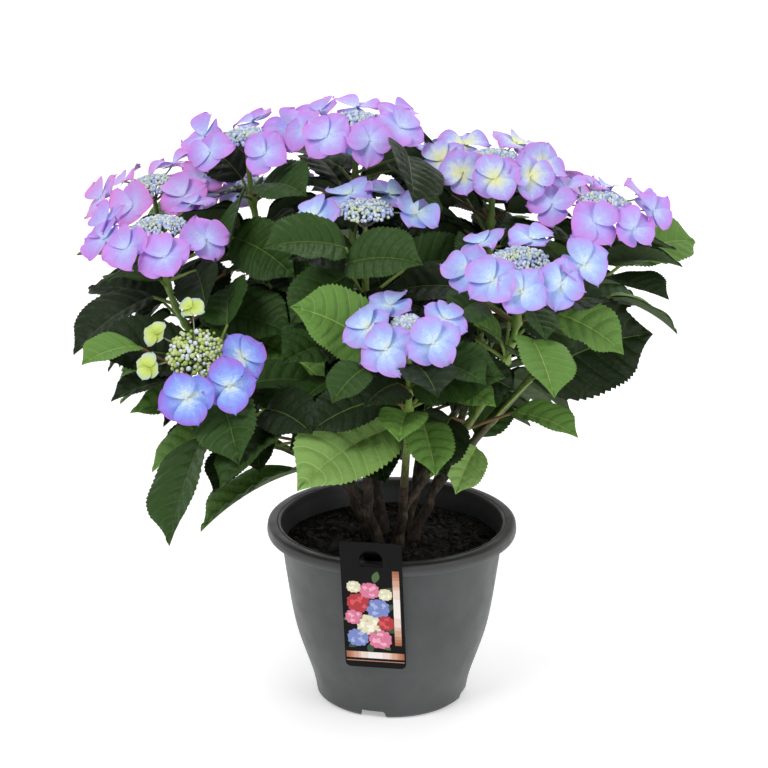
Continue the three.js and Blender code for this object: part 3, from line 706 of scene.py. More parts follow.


# ---- looks of leaves and stems
# Blade tones from deep to pale green, each with its side veins' tone. They are partly the leaves' own
# greens, young leaves being paler, and partly painted light and shade: the deep tone paints shade on
# leaves inside the foliage, and the light one paints lit leaves. The dim midrib goes with the deep and
# mid blades.
LEAF_TONES = {
    "deep": (24, 40, 12), "mid": (45, 73, 25), "light": (98, 137, 61), "young": (126, 161, 84),
}
LEAF_VEINS = {
    "deep": (36, 56, 20), "mid": (60, 92, 36), "light": (116, 152, 76), "young": (148, 181, 106),
}
MIDRIB_TONES = {"dim": (84, 108, 48), "bright": (150, 178, 92)}
UNDERSIDE_TONE = (78, 96, 62)
PETIOLE_TONES = {"green": (128, 150, 76), "flushed": (118, 92, 62)}


def leaf_look(name, tone, roughness=0.54):
    look = Look(name, srgb(*tone), roughness, Specular_IOR_Level=0.24)
    grain = look.bump(look.cells(4.2, "SMOOTH_F1"), 1.1, 0.8)
    look.bump(look.noise(1.3, detail=4), 0.25, 0.6, under=grain)
    look.roughness(look.ramp(look.noise(9), (0.3, roughness - 0.07), (0.7, roughness + 0.12)))
    return look.material


def leaf_looks():
    """The blade's tones, the side veins of each, then midrib, underside and petioles."""
    blades = [leaf_look("leaf_" + name, tone) for name, tone in LEAF_TONES.items()]
    veins = [leaf_look("vein_" + name, tone) for name, tone in LEAF_VEINS.items()]
    rest = [leaf_look("midrib_" + name, tone) for name, tone in MIDRIB_TONES.items()]
    rest += [leaf_look("leaf_underside", UNDERSIDE_TONE, 0.7)]
    rest += [leaf_look("petiole_" + name, tone, 0.5) for name, tone in PETIOLE_TONES.items()]
    return blades + veins + rest


# ---- fine leaves
VEINS = 8                     # side veins of each half
VEIN_REACH = 0.55             # how far they run forward, over the blade's length
VEIN_HALF = 0.035             # half width of a vein's strip, over the space between two
TOOTH_DEPTH = 0.065           # over the half width of the blade
MIDRIB_HALF = 0.9
PILLOW = 3.8                  # rise between two veins of a blade of PILLOW_LENGTH
PILLOW_LENGTH = 130
ARCH = 0.35                   # how much each half arches over between midrib and margin
WAVE = 0.016                  # of the margin, over the length
BLADE_THICK = 0.5
CROWN_RADIUS = 260
TIP_TAPER = 0.6               # how much narrower than the coarse blade the tip is
TIP_FROM = 0.78
SHOULDER = 0.14               # how much fuller than the coarse blade it is before the tip
SHOULDER_AT, SHOULDER_SPREAD = 0.72, 0.16
PETIOLE_STEPS, PETIOLE_SIDES = 7, 6
PETIOLE_ARCH = 0.03           # how far a petiole bows up, over its length
FLUSHED_SHARE = 0.3           # of the petioles

# Rows of points between one side vein and the next: how far the margin stands out in each. It rises
# slowly to a tooth and falls back quickly, three teeth to a vein.
PHASES = np.array([0, VEIN_HALF, 0.1, 0.36, 0.46, 0.7, 0.8, 1 - VEIN_HALF])
MARGIN = 1 - TOOTH_DEPTH * np.array([0, 0.3, 1, 0, 1, 0, 1, 0.15])
COLUMNS = np.array([0.2, 0.4, 0.6, 0.8, 0.93, 1])
SMALL_LEAF = 88               # a shorter one has fewer veins and columns of points
SMALL_LEAF_VEINS = 6
SMALL_LEAF_COLUMNS = np.array([0.28, 0.56, 0.82, 1])

MIDRIB_MATERIAL = 2 * len(LEAF_TONES)
UNDERSIDE_MATERIAL = MIDRIB_MATERIAL + 2
PETIOLE_MATERIAL = MIDRIB_MATERIAL + 3


def blade_rows(veins):
    """Place of each row along the midrib, its phase between two veins and its margin."""
    place = np.concatenate([(i + PHASES) / veins for i in range(veins)] + [[1]])
    phase = np.append(np.tile(PHASES, veins), 0)
    margin = np.append(np.tile(MARGIN, veins), 1)
    return place[:, None], phase[:, None], margin[:, None]


def blade_surface(leaf, draw):
    """Rows of points of the blade before it is quilted, the quilting's lift of each and the way up."""
    length = leaf["length"]
    small = length < SMALL_LEAF
    place, phase, margin = blade_rows(SMALL_LEAF_VEINS if small else VEINS)
    across_half = SMALL_LEAF_COLUMNS if small else COLUMNS
    middle_edge = length * LEAF_WIDTH * blade_outline(place) + MIDRIB_HALF
    rib = np.minimum(MIDRIB_HALF * (1 - 0.7 * place) / middle_edge, 0.15)
    half = np.concatenate([rib, np.broadcast_to(across_half, (len(place), len(across_half)))], axis=1)
    u = np.concatenate([-half[:, ::-1], np.zeros_like(place), half], axis=1)
    size = np.abs(u)
    s = place + VEIN_REACH * place ** 0.6 * (1 - place) * size ** 1.3
    taper = 1 - TIP_TAPER * np.clip((s - TIP_FROM) / (1 - TIP_FROM), 0, 1)
    full = 1 + SHOULDER * np.exp(-((s - SHOULDER_AT) / SHOULDER_SPREAD) ** 2)
    edge = length * LEAF_WIDTH * blade_outline(s) * taper * full + MIDRIB_HALF * (1 - s)
    point, side, upper = midrib(leaf, s)

    fold = math.radians(LEAF_FOLD)
    out = u * (1 - (1 - margin) * size ** 6) * edge * math.cos(fold)
    rise = edge * math.sin(fold) * ((1 + ARCH) * size - ARCH * size ** 2)
    ripple = np.where(u < 0, draw(), draw()) + (1.6 + 1.4 * draw()) * s
    swell = np.sin(2 * math.pi * ripple) * np.sin(math.pi * s)
    rise += WAVE * length * (0.4 + draw()) * size ** 2 * swell
    quilt = np.sin(math.pi * size ** 0.7) * (1 - np.cos(2 * math.pi * phase)) / 2
    flat = point + side * out[..., None] + upper * rise[..., None]
    return flat, (PILLOW * length / PILLOW_LENGTH * quilt)[..., None], upper


def blade_tones(rows, columns, tone):
    """Each face's material: the blade's tone, its side veins and its midrib."""
    tones = np.full((rows - 1, columns - 1), tone)
    vein_rows = np.isin(np.arange(rows - 1) % len(PHASES), (0, len(PHASES) - 1))
    tones[vein_rows, :] = len(LEAF_TONES) + tone
    centre = columns // 2
    # The midrib is dim on the deep and mid blades, as part of their painted shade, and bright on the
    # paler ones.
    tones[:, centre - 1:centre + 1] = MIDRIB_MATERIAL + int(tone > 1)
    return tones.ravel()


def fine_leaf(heap, leaf, tone, draw):
    """A toothed blade, quilted between its side veins, with a plain underside, on its petiole."""
    flat, quilt, upper = blade_surface(leaf, draw)
    rows, columns = flat.shape[:2]
    heap.add(flat + upper * quilt, lattice(rows, columns), blade_tones(rows, columns, tone))
    below = (flat - upper * BLADE_THICK)[::4, 1:-1:2]
    heap.add(below, lattice(*below.shape[:2])[:, ::-1], UNDERSIDE_MATERIAL)

    node, base = leaf["node"], leaf["base"]
    middle = node * 0.5 + base * 0.5 + UP * (PETIOLE_ARCH * leaf["petiole"])
    t = np.linspace(0, 1, PETIOLE_STEPS)[:, None]
    path = node * (1 - t) ** 2 + middle * 2 * t * (1 - t) + base * t ** 2
    radii = PETIOLE_RADIUS + (PETIOLE_TOP_RADIUS - PETIOLE_RADIUS) * t[:, 0]
    add_tube(heap, path, radii, PETIOLE_SIDES, PETIOLE_MATERIAL + int(draw() < FLUSHED_SHARE))


def leaf_tone_and_shade(leaf, draw):
    """The leaf's listed tone, or else one that paints shade and light: a deeper green inside the plant,
    where shade falls, and paler towards its outside, spread at random.
    """
    if "tone" in leaf:
        return leaf["tone"]
    outside = np.linalg.norm(leaf["base"][:2]) / CROWN_RADIUS
    return int(np.clip(around(draw, 0.1 + 1.7 * outside, 2.6), 0, len(LEAF_TONES) - 1))


# ---- flower heads
PALETTE_STEPS = 10
PALETTES = {                  # sepals from the middle to the edge
    "blue": [(0, (232, 238, 184)), (0.1, (216, 234, 244)), (0.26, (184, 212, 254)),
             (0.46, (170, 184, 248)), (0.7, (180, 162, 240)), (1, (200, 142, 230))],
    "violet": [(0, (210, 224, 238)), (0.1, (198, 212, 252)), (0.28, (186, 182, 248)),
               (0.5, (190, 156, 240)), (0.75, (202, 142, 234)), (1, (210, 134, 226))],
    "pink": [(0, (210, 216, 234)), (0.1, (202, 202, 248)), (0.28, (198, 178, 242)),
             (0.5, (206, 158, 236)), (0.78, (220, 142, 226)), (1, (226, 132, 216))],
    "young": [(0, (230, 234, 156)), (0.18, (228, 234, 196)), (0.34, (200, 212, 240)),
              (0.54, (180, 176, 244)), (0.75, (192, 152, 234)), (1, (206, 138, 226))],
    "deep": [(0, (228, 232, 176)), (0.14, (198, 218, 232)), (0.3, (148, 180, 242)),
             (0.54, (130, 144, 234)), (0.78, (142, 116, 220)), (1, (160, 98, 206))],
    "green": [(0, (176, 200, 70)), (0.4, (204, 222, 110)), (0.75, (196, 214, 168)),
              (1, (170, 190, 222))],
}
PEDICEL_TONE = (128, 140, 104)

SEPAL_ROWS = 15
SEPAL_COLUMNS = 12
SEPAL_LENGTH = 1.16           # over the floret's radius
SEPAL_HALF_WIDTH = 0.64       # over the floret's radius
SEPAL_WIDEST = 0.52           # place along the sepal
SEPAL_ROUND = 0.72            # 0.5 ends it as an ellipse, more makes it pointed
SEPAL_POINT = 0.09            # how far its point stands out
SEPAL_STEP = 0.075            # two sepals stand this far over the other two, over the radius
SEPAL_SWING = 0.5             # how differently they open
SEPAL_ROLL = 0.4              # how differently they turn about their own midline
SEPAL_CUP = 0.2               # how far the margins of the upper two rise
SEPAL_NECK = 0.05             # half width where it starts, over the radius
TIP_REFLEX = 0.16             # how far the tips bend back
KEEL, KEEL_WIDTH = 0.05, 0.16  # depth and width of the groove along it
RIPPLE = 0.03                 # of its margin, over the radius
STREAK, STREAKS = 0.045, 9    # lengthwise streaks of colour
SEPAL_DIFFERENCE = 0.26       # between the colours of two sepals
SPECKLE = 0.9                 # steps of the palette between two faces
FLORET_SEED = 7000            # of the random draws of their places
UNOPENED = 0.7                # a floret under this much of FLORET_RADIUS is still green
BUTTON_SIZE = 0.075           # of the closed button in the middle, over the radius

# Rows from the middle to the tip, closer towards it, and columns from margin to margin
SEPAL_T = np.sin(np.linspace(0, math.pi / 2, SEPAL_ROWS + 1))[:, None]
SEPAL_V = np.linspace(-1, 1, SEPAL_COLUMNS + 1)[None, :]
FACE_T = (SEPAL_T[1:] + SEPAL_T[:-1]) / 2
FACE_V = np.abs(SEPAL_V[:, 1:] + SEPAL_V[:, :-1]) / 2
SHADE = 0.74 * FACE_T + 0.4 * FACE_V ** 1.5 * (0.3 + 0.7 * FACE_T)


def palette_colour(stops, q):
    places = [place for place, _ in stops]
    return tuple(np.interp(q, places, [tone[i] for _, tone in stops]) for i in range(3))


def petal_looks():
    """All palettes in steps, and last the pedicels' look."""
    looks = []
    for name, stops in PALETTES.items():
        for step in range(PALETTE_STEPS):
            tone = palette_colour(stops, (step + 0.5) / PALETTE_STEPS)
            looks.append(plain_look(f"petal_{name}_{step}", tone, 0.55, 1.6, 0.16, 0.5, 2,
                                    Sheen_Weight=0.15))
    return [*looks, plain_look("pedicel", PEDICEL_TONE, 0.6, 1, 0.1)]


PEDICEL_MATERIAL = PALETTE_STEPS * len(PALETTES)
BUTTON = bead_of(8, 5)


def sepal_points(radius, upper, draw):
    """How far along a sepal, across it and above its floret's middle each of its points is."""
    t, v = SEPAL_T, SEPAL_V
    length = SEPAL_LENGTH * radius * (0.9 + 0.16 * draw())
    half = SEPAL_HALF_WIDTH * radius * (0.92 + 0.16 * draw())
    before = np.sin(math.pi / 2 * np.clip(t / SEPAL_WIDEST, 0, 1)) ** 0.8
    after = (1 - np.clip((t - SEPAL_WIDEST) / (1 - SEPAL_WIDEST), 0, 1) ** 2) ** SEPAL_ROUND
    width = SEPAL_NECK * radius * (1 - t) + half * before * after
    along = length * (t + SEPAL_POINT * t ** 4 * (1 - np.abs(v)) ** 2)
    opening = FLORET_RELIEF * length * t ** 1.3 - TIP_REFLEX * radius * t ** 4
    swing = around(draw, 0, SEPAL_SWING) * radius * t ** 1.6
    roll = around(draw, 0, SEPAL_ROLL) * radius * v * t
    cupping = SEPAL_CUP * (0.3 + draw()) if upper else around(draw, 0, 0.05)
    cup = cupping * radius * v ** 2 * np.sin(math.pi * t)
    keel = -KEEL * radius * np.exp(-(v / KEEL_WIDTH) ** 2) * t ** 0.5 * (1 - t)
    ripple = RIPPLE * radius * np.sin(2 * math.pi * (1.5 * v + draw())) * t ** 2
    step = SEPAL_STEP * radius * (1 if upper else -1) * np.sin(math.pi * t ** 0.8)
    return along, width * v, opening + swing + roll + cup + keel + ripple + step


def sepal_tones(draw):
    """Each face's step of the palette: it rises to the tip and the margins, streaked and speckled."""
    noise = grid_of(draw, SEPAL_ROWS, SEPAL_COLUMNS)
    streak = around(draw, STREAK * np.cos(STREAKS * math.pi * FACE_V), SEPAL_DIFFERENCE)
    level = (SHADE + streak * np.sqrt(FACE_T)) * PALETTE_STEPS + SPECKLE * (noise - 0.5)
    return np.clip(level, 0, PALETTE_STEPS - 1).astype(int).ravel()


def fine_floret(heap, root, centre, axis, radius, spin, palette, draw):
    """Four broad sepals with pointed tips, two over two, and a small closed button."""
    side = across(axis, heading(spin, 20))
    other = np.cross(axis, side)
    first = list(PALETTES).index(palette) * PALETTE_STEPS
    for k in range(4):
        turn = math.radians(45 + 90 * k)
        ahead = side * math.cos(turn) + other * math.sin(turn)
        beside = np.cross(axis, ahead)
        along, out, lift = sepal_points(radius, k % 2 == 0, draw)
        grid = centre + ahead * along[..., None] + beside * out[..., None]
        grid = grid + axis * lift[..., None]
        heap.add(grid, lattice(SEPAL_ROWS + 1, SEPAL_COLUMNS + 1), first + sepal_tones(draw))
    points, faces = BUTTON
    heap.add(centre + axis * (0.05 * radius) + BUTTON_SIZE * radius * points, faces, first + 1)
    under = centre - axis * 0.5
    path = [root, root * 0.4 + under * 0.6 - axis, under]
    add_tube(heap, path, [1.0, 0.8, 1.1], 5, PEDICEL_MATERIAL)


def florets_of(s, index, taken):
    """The florets of a head that have room, with their sizes and bearings."""
    draw = chance(FLORET_SEED + index)
    axis, centre = head_axis(s), s["head"]
    dome_radius = min(DOME_RADIUS, s["ring"] - FLORET_RADIUS)
    for _ in range(CORE_RINGS * CORE_SIDES):
        draw()  # the CAD source draws its core's uneven rings first
    made = []
    for azimuth, size in [(a, 1) for a in s["florets"]] + [(a, SMALL_FLORET) for a in s["small"]]:
        level = heading(around(draw, azimuth, 10))
        outwards = square(level, axis)
        distance = s["ring"] * (0.94 + 0.12 * draw())
        middle = centre + outwards * distance + axis * (-4 + 10 * draw())
        facing = unit(axis + FLORET_OUT * outwards + FLORET_DROOP * heading(s["lean"]))
        radius = FLORET_RADIUS * size * (0.9 + 0.2 * draw())
        root = centre + outwards * 0.6 * dome_radius + axis
        spin = 360 * draw()
        if not Shape(*skin(coarse_floret(root, middle, facing, radius, spin))).touches(taken):
            made.append((root, middle, facing, radius, spin))
    return made, dome_radius


def coarse_floret(root, centre, axis, radius, spin):
    """Rings of a floret as the CAD source makes it, for spacing."""
    side = across(axis, heading(spin, 20))
    other = np.cross(axis, side)
    edge = []
    for k in range(12):
        reach = radius * (SEPAL_NOTCH if k % 3 == 0 else 1)
        turn = math.radians(90 * (k // 3) + [0, SEPAL_SHOULDER, 90 - SEPAL_SHOULDER][k % 3])
        way = side * math.cos(turn) + other * math.sin(turn)
        edge.append(centre + reach * (way + axis * FLORET_RELIEF))
    under = centre - axis * FLORET_DEPTH
    along = unit(under - root)
    bend = unit(along + axis)
    return [ring_round(root, along, square(side, along), PEDICEL_RADIUS, 3),
            ring_round(under, bend, square(side, bend), PEDICEL_RADIUS, 3),
            np.array(edge), (centre + axis)[None, :]]


# ---- buds
BUD_TONES = [
    (186, 200, 234), (156, 176, 224), (222, 230, 244),
    (204, 218, 190), (166, 190, 96), (208, 220, 152),
]
RAY_TONES = [(122, 136, 76), (112, 104, 96)]
BUDS = {                      # how many on a head, their radius, and the tones that they take
    "blue": (230, 1.95, (0, 0, 1, 2, 2, 3, 3)),
    "green": (130, 2.3, (4, 4, 5, 5, 5, 3, 2)),
}
BUD_DOME = 0.34               # height of the buds' dome over its radius
BUD_SINK = 9                  # of the hubs that its pedicels spread from, under the dome
GOLDEN_ANGLE = 137.508
CLUSTERS = 9
BEAD = bead_of(6, 4)


def bud_looks():
    return [plain_look(f"{name}_{i}", tone, 0.5, 0.7, 0.06, detail=1)
            for name, tones in (("bud", BUD_TONES), ("ray", RAY_TONES))
            for i, tone in enumerate(tones)]


def on_dome(s, dome_radius, distance, azimuth, sunk):
    """A point at a distance from a head's axis, sunk into its domed top."""
    axis = head_axis(s)
    outwards = square(heading(azimuth), axis)
    height = 2 + (BUD_DOME * dome_radius - 2) * (1 - (distance / dome_radius) ** 2)
    return s["head"] + outwards * distance + axis * (height - sunk)


def fine_buds(heap, s, dome_radius, draw):
    """A stalk that spreads in rays, and each ray in buds on thin pedicels."""
    axis = head_axis(s)
    count, bud_radius, tones = BUDS[s["buds"]]
    ray_tone = len(BUD_TONES) + int(s["buds"] == "blue")
    foot, neck = s["route"].point(1.0), s["head"] - NECK * axis
    stalk = [foot - 3 * s["route"].tangent(1.0), foot, neck, neck + 3 * axis]
    add_tube(heap, stalk, [STALK_RADIUS, STALK_RADIUS, 2.3, 2.5], 8, len(BUD_TONES))
    hubs = []
    for i in range(CLUSTERS):
        distance = 0.75 * dome_radius * math.sqrt((i + 0.4) / CLUSTERS)
        hub = on_dome(s, dome_radius, distance, i * GOLDEN_ANGLE, BUD_SINK)
        hubs.append(hub)
        add_tube(heap, [neck, (neck + hub) / 2 - 1.5 * axis, hub], [1.5, 1.1, 0.9], 5, ray_tone)
    hubs = np.array(hubs)
    points, faces = BEAD
    for i in range(count):
        distance = 1.05 * dome_radius * math.sqrt((i + 0.5) / count)
        sunk = 2.6 * draw() ** 2 - 1.2
        bud = on_dome(s, dome_radius, distance, i * GOLDEN_ANGLE + 14 * draw(), sunk)
        radius = bud_radius * (0.72 + 0.5 * draw())
        hub = hubs[np.argmin(np.linalg.norm(hubs - bud, axis=1))]
        tone = tones[int(draw() * len(tones))]
        heap.add(bud + radius * points, faces, tone)
        add_tube(heap, [hub, bud], [0.5, 0.4], 3, ray_tone)


# ---- fine stems
STEM_TONES = [(70, 66, 38), (84, 96, 42), (96, 122, 46), (114, 146, 56), (126, 156, 72)]
NODE_SWELLING = 0.9
NODE_LENGTH = 4
STEM_SIDES = 12
STEM_STEPS = 70


def stem_looks():
    looks = []
    for i, tone in enumerate(STEM_TONES):
        look = Look(f"stem_{i}", srgb(*tone), 0.5)
        dots = look.ramp(look.cells(3.5), (0.1, 1.0), (0.22, 0.0))
        speckle = look.bump(dots, 0.25, 0.5)
        look.bump(look.noise(1.5, stretch=(1, 1, 6)), 0.12, 0.5, under=speckle)
        looks.append(look.material)
    return looks


def fine_stem(heap, s, shares, draw):
    """A shoot from its woody start to its head, swollen a little where leaves stand."""
    t = np.linspace(WOODY_UNTIL - 0.01, 1, STEM_STEPS)[:, None]
    radii = stem_radius(t[:, 0])
    for share in shares:
        away = (t[:, 0] - share) * s["route"].length / NODE_LENGTH
        radii = radii + NODE_SWELLING * np.exp(-away ** 2)
    green = (t[:-1] - WOODY_UNTIL) / (1 - WOODY_UNTIL)
    noise = grid_of(draw, STEM_STEPS - 1, STEM_SIDES)
    tones = np.clip(green * 6.5 + 1.1 * (noise - 0.5) - 0.2, 0, len(STEM_TONES) - 1).astype(int)
    rings = tube(s["route"].point(t), radii, STEM_SIDES)
    heap.add(rings, lattice(STEM_STEPS, STEM_SIDES, closed=True), tones.ravel())


# ---- woody limbs
BARK_SIDES = 18
BARK_STEP = 1.6
BARK_RELIEF = 0.0875          # over the radius
SMOOTHINGS = 3                # of a limb's path
BARK_LAP = 3                  # how far a limb runs on into the soil and past its fork


def bark_look():
    look = Look("bark", srgb(74, 58, 44), 0.85)
    streaks = look.noise(3.0, detail=5, roughness=0.65, stretch=(1, 1, 7))
    patches = look.noise(14, detail=3)
    # The bark is darkest where the streaks that also raise its ridges are low, in the grooves: partly
    # the bark's darker fissures, partly painted shade in them.
    shades = look.ramp(
        streaks, (0.3, srgb(22, 17, 13)), (0.55, srgb(52, 41, 32)), (0.75, srgb(84, 68, 54)))
    pale = look.ramp(streaks, (0.3, srgb(46, 37, 29)), (0.7, srgb(104, 88, 70)))
    look.colour(look.mix(look.ramp(patches, (0.48, 0.0), (0.66, 1.0)), shades, pale))
    ridges = look.bump(streaks, 0.9, 0.9)
    look.bump(look.noise(0.8, detail=4), 0.2, 0.6, under=ridges)
    return look.material


def bark_tube(heap, points, radii, draw):
    """A limb with lengthwise ridges and flakes."""
    points, radii = np.asarray(points, float), np.asarray(radii, float)
    reach = np.concatenate([[0], np.cumsum(np.linalg.norm(np.diff(points, axis=0), axis=1))])
    steps = max(int(reach[-1] / BARK_STEP), 4)
    at = np.linspace(0, reach[-1], steps)
    path = np.stack([np.interp(at, reach, points[:, i]) for i in range(3)], axis=1)
    for _ in range(SMOOTHINGS):
        path[1:-1] = (path[:-2] + 2 * path[1:-1] + path[2:]) / 4
    rings = tube(path, np.interp(at, reach, radii), BARK_SIDES)
    turn = np.arange(BARK_SIDES) * 2 * math.pi / BARK_SIDES
    phases = [draw() * 2 * math.pi for _ in range(4)]
    up = at[:, None]
    ridge = np.cos(5 * turn + phases[0] + 0.05 * up)
    ridge = ridge + 0.7 * np.cos(8 * turn + phases[1] - 0.09 * up)
    flake = np.cos(0.33 * up + 2 * turn + phases[2]) * np.cos(0.21 * up - 3 * turn + phases[3])
    swell = 1 + BARK_RELIEF * (0.35 * ridge + 0.45 * flake)[..., None]
    bark = path[:, None, :] + (rings - path[:, None, :]) * swell
    heap.add(bark, lattice(steps, BARK_SIDES, closed=True))
    heap.add(bark[-1], fan(BARK_SIDES))


def fine_limb(heap, limb, shoots, draw):
    """A limb from its flared foot to its fork, and the woody start of each of its shoots."""
    foot, fork = foot_of(limb), fork_of(limb)
    points = [foot - UP * BARK_LAP, foot * 0.7 + fork * 0.3 + UP * 2,
              fork - UP * 10, fork + UP * BARK_LAP]
    radii = [FOOT_RADIUS + 1, 0.8 * FOOT_RADIUS, FORK_RADIUS, 0.8 * FORK_RADIUS]
    bark_tube(heap, points, radii, draw)
    for s in shoots:
        t = np.linspace(0, WOODY_UNTIL + 0.02, 12)[:, None]
        bark_tube(heap, s["route"].point(t), stem_radius(t[:, 0]) + 0.3, draw)


# ---- pot
POT_TURNS = 144
POT_WALL = 2.2
POT_OUTLINE = [(74, 0), (79, 4), (84, 27), (101, 80), (110.5, 136), (116.5, 182)]
FOOT_RADIUS_OUT = POT_OUTLINE[0][0]
FOOT_RING = 4                 # width of the ring that the pot stands on
PAD_RADIUS = 42               # flat middle of the underside, level with the ring
RECESS = 9                    # height of the hollow between the ring and the pad
RIM_RADIUS = 130
RIM_TOP = 193
RIM_SKIRT = 12                # how far the rim's outer edge turns down
RIM_EDGE = 1.1                # half thickness of the skirt's lower edge
RIM_CORNER = 3.2
NOTCH_WIDTH = 28
NOTCH_DEPTH = 20
NOTCH_CORNER = 4
NOTCH_AZIMUTHS = [75, 165, 255, 345]
DRAIN_RADIUS = 5
DRAIN_RING = 60               # distance of the drain holes from the middle


def wall_radius(height):
    return float(np.interp(height, [z for _, z in POT_OUTLINE], [r for r, _ in POT_OUTLINE]))


def arc(centre, radius, start, end, steps=6):
    """Points (r, z) of a round corner, angles in degrees."""
    turn = np.radians(np.linspace(start, end, steps))
    return [(centre[0] + radius * math.cos(a), centre[1] + radius * math.sin(a)) for a in turn]


def smooth_line(points, steps=8):
    """A curve through points (r, z), as a Catmull-Rom spline."""
    p = np.array([points[0], *points, points[-1]], float)
    out = []
    for a, b, c, d in zip(p, p[1:], p[2:], p[3:]):
        second, third = 2 * a - 5 * b + 4 * c - d, 3 * b - a - 3 * c + d
        for t in np.linspace(0, 1, steps, endpoint=False):
            out.append(tuple(0.5 * (2 * b + (c - a) * t + second * t ** 2 + third * t ** 3)))
    return out + [tuple(p[-1])]


def lathe(profile, turns):
    """Points and quads of a profile turned round the Z axis."""
    turn = np.linspace(0, 2 * math.pi, turns, endpoint=False)
    r, z = np.array(profile).T
    points = np.stack([np.outer(r, np.cos(turn)), np.outer(r, np.sin(turn)),
                       np.outer(z, np.ones(turns))], axis=-1)
    return points, lattice(len(profile), turns, closed=True)


def pot_profile():
    """From the middle of the underside up outside, over the rolled rim and down inside."""
    wall = smooth_line(POT_OUTLINE[1:], 10)
    under = RIM_TOP - POT_WALL
    bottom = RIM_TOP - RIM_SKIRT + RIM_EDGE
    heights = np.linspace(RIM_TOP - 8, RECESS + POT_WALL + 3, 16)
    inside = [(wall_radius(z) - POT_WALL, z) for z in heights]
    ring, neck = FOOT_RADIUS_OUT - FOOT_RING, wall[-1][0]
    return [
        (0.5, 0), (PAD_RADIUS - 1, 0), (PAD_RADIUS, 0.6), (PAD_RADIUS + POT_WALL, RECESS),
        (ring, RECESS), (ring, 0.6), (ring + 0.6, 0), (FOOT_RADIUS_OUT, 0), *wall,
        (neck + 1, under - 1), (neck + 2, under),
        (RIM_RADIUS - POT_WALL - 1, under), (RIM_RADIUS - POT_WALL, under - 1),
        *arc((RIM_RADIUS - POT_WALL / 2, bottom), RIM_EDGE, 180, 360),
        *[(RIM_RADIUS + 0.5 * math.sin(math.pi * k / 6), bottom + 6.4 * k / 6) for k in range(1, 6)],
        *arc((RIM_RADIUS - RIM_CORNER, RIM_TOP - RIM_CORNER), RIM_CORNER, 0, 90, 9),
        *arc((RIM_RADIUS - 9, RIM_TOP - 1.6), 1.6, 90, 150, 3),
        (neck + 3.4, RIM_TOP - 0.9), *arc((neck + 1.6, RIM_TOP - 1.9), 1.9, 70, 180, 6),
        *inside, (0.5, RECESS + POT_WALL + 2),
    ]


def cut(piece, points, faces):
    """Cuts a closed shape, given in millimetres, out of a piece."""
    mesh = bpy.data.meshes.new("cutter")
    mesh.from_pydata([tuple(p * MM) for p in points], [], [list(map(int, f)) for f in faces])
    cutter = put("cutter", mesh)
    modifier = piece.modifiers.new("cut", "BOOLEAN")
    modifier.object, modifier.operation, modifier.solver = cutter, "DIFFERENCE", "EXACT"
    bpy.context.view_layer.update()
    made = bpy.data.meshes.new_from_object(piece.evaluated_get(bpy.context.evaluated_depsgraph_get()))
    piece.modifiers.clear()
    old, piece.data = piece.data, made
    bpy.data.meshes.remove(old)
    bpy.data.objects.remove(cutter)
    bpy.data.meshes.remove(mesh)


def notch_shape(azimuth):
    """A notch with a rounded top, through the foot."""
    half, height = NOTCH_WIDTH / 2, RECESS - NOTCH_CORNER - 0.3
    profile = [(-half, -3), (half, -3)]
    profile += arc((half - NOTCH_CORNER, height), NOTCH_CORNER, 0, 90)
    profile += arc((NOTCH_CORNER - half, height), NOTCH_CORNER, 90, 180)
    ahead, beside = heading(azimuth), heading(azimuth + 90)
    rings = [np.array([ahead * r + beside * y + UP * z for y, z in profile])
             for r in (FOOT_RADIUS_OUT - NOTCH_DEPTH / 2 - 2, FOOT_RADIUS_OUT + NOTCH_DEPTH / 2 + 4)]
    return skin(rings)


def plastic():
    """Satin charcoal plastic with faint clouds, dust and fine scratches, and painted shade on its rim.
    """
    look = Look("pot_plastic", srgb(66, 67, 68), 0.42)
    clouds = look.noise(60, detail=4)
    dust = look.noise(2.2, detail=6, roughness=0.7)
    body = look.ramp(clouds, (0.3, srgb(58, 60, 61)), (0.7, srgb(72, 74, 75)))
    dusty = look.ramp(clouds, (0.3, srgb(74, 74, 73)), (0.7, srgb(86, 86, 84)))
    wall = look.mix(look.ramp(dust, (0.56, 0.0), (0.74, 0.8)), body, dusty)
    # Painted shade: from just above the rim's lower edge up, the rim and the top of the inside wall are
    # mixed to this darker grey.
    rim = look.ramp(clouds, (0.3, srgb(36, 36, 35)), (0.7, srgb(50, 50, 48)))
    look.colour(look.mix(look.ramp(look.height(0, RIM_TOP), (0.945, 0.0), (0.975, 0.85)), wall, rim))
    look.roughness(look.ramp(look.noise(22, detail=5), (0.3, 0.36), (0.7, 0.52)))
    scratches = look.noise(0.9, detail=3, stretch=(6, 6, 1))
    under = look.bump(scratches, 0.05, 0.5)
    look.bump(look.noise(1.4, detail=3), 0.08, 0.5, under=under)
    return look.material


def fine_pot():
    """The turned shell, with its notches and drain holes cut out."""
    heap = Heap()
    points, faces = lathe(pot_profile(), POT_TURNS)
    heap.add(points, faces)
    heap.add(points[0], [list(range(POT_TURNS))[::-1]])
    heap.add(points[-1], [list(range(POT_TURNS))])
    pot = heap.build("pot_shell", "pot", [plastic()], ["pot"])
    weld(pot)
    for azimuth in NOTCH_AZIMUTHS:
        cut(pot, *notch_shape(azimuth))
        drain = [ring_round(heading(azimuth) * DRAIN_RING + UP * z, UP, heading(0), DRAIN_RADIUS, 20)
                 for z in (-3, RECESS + 8)]
        cut(pot, *skin(drain))


def weld(piece):
    """Joins points that lie together."""
    mesh = bmesh.new()
    mesh.from_mesh(piece.data)
    bmesh.ops.remove_doubles(mesh, verts=mesh.verts, dist=0.01 * MM)
    bmesh.ops.recalc_face_normals(mesh, faces=mesh.faces)
    mesh.to_mesh(piece.data)
    mesh.free()


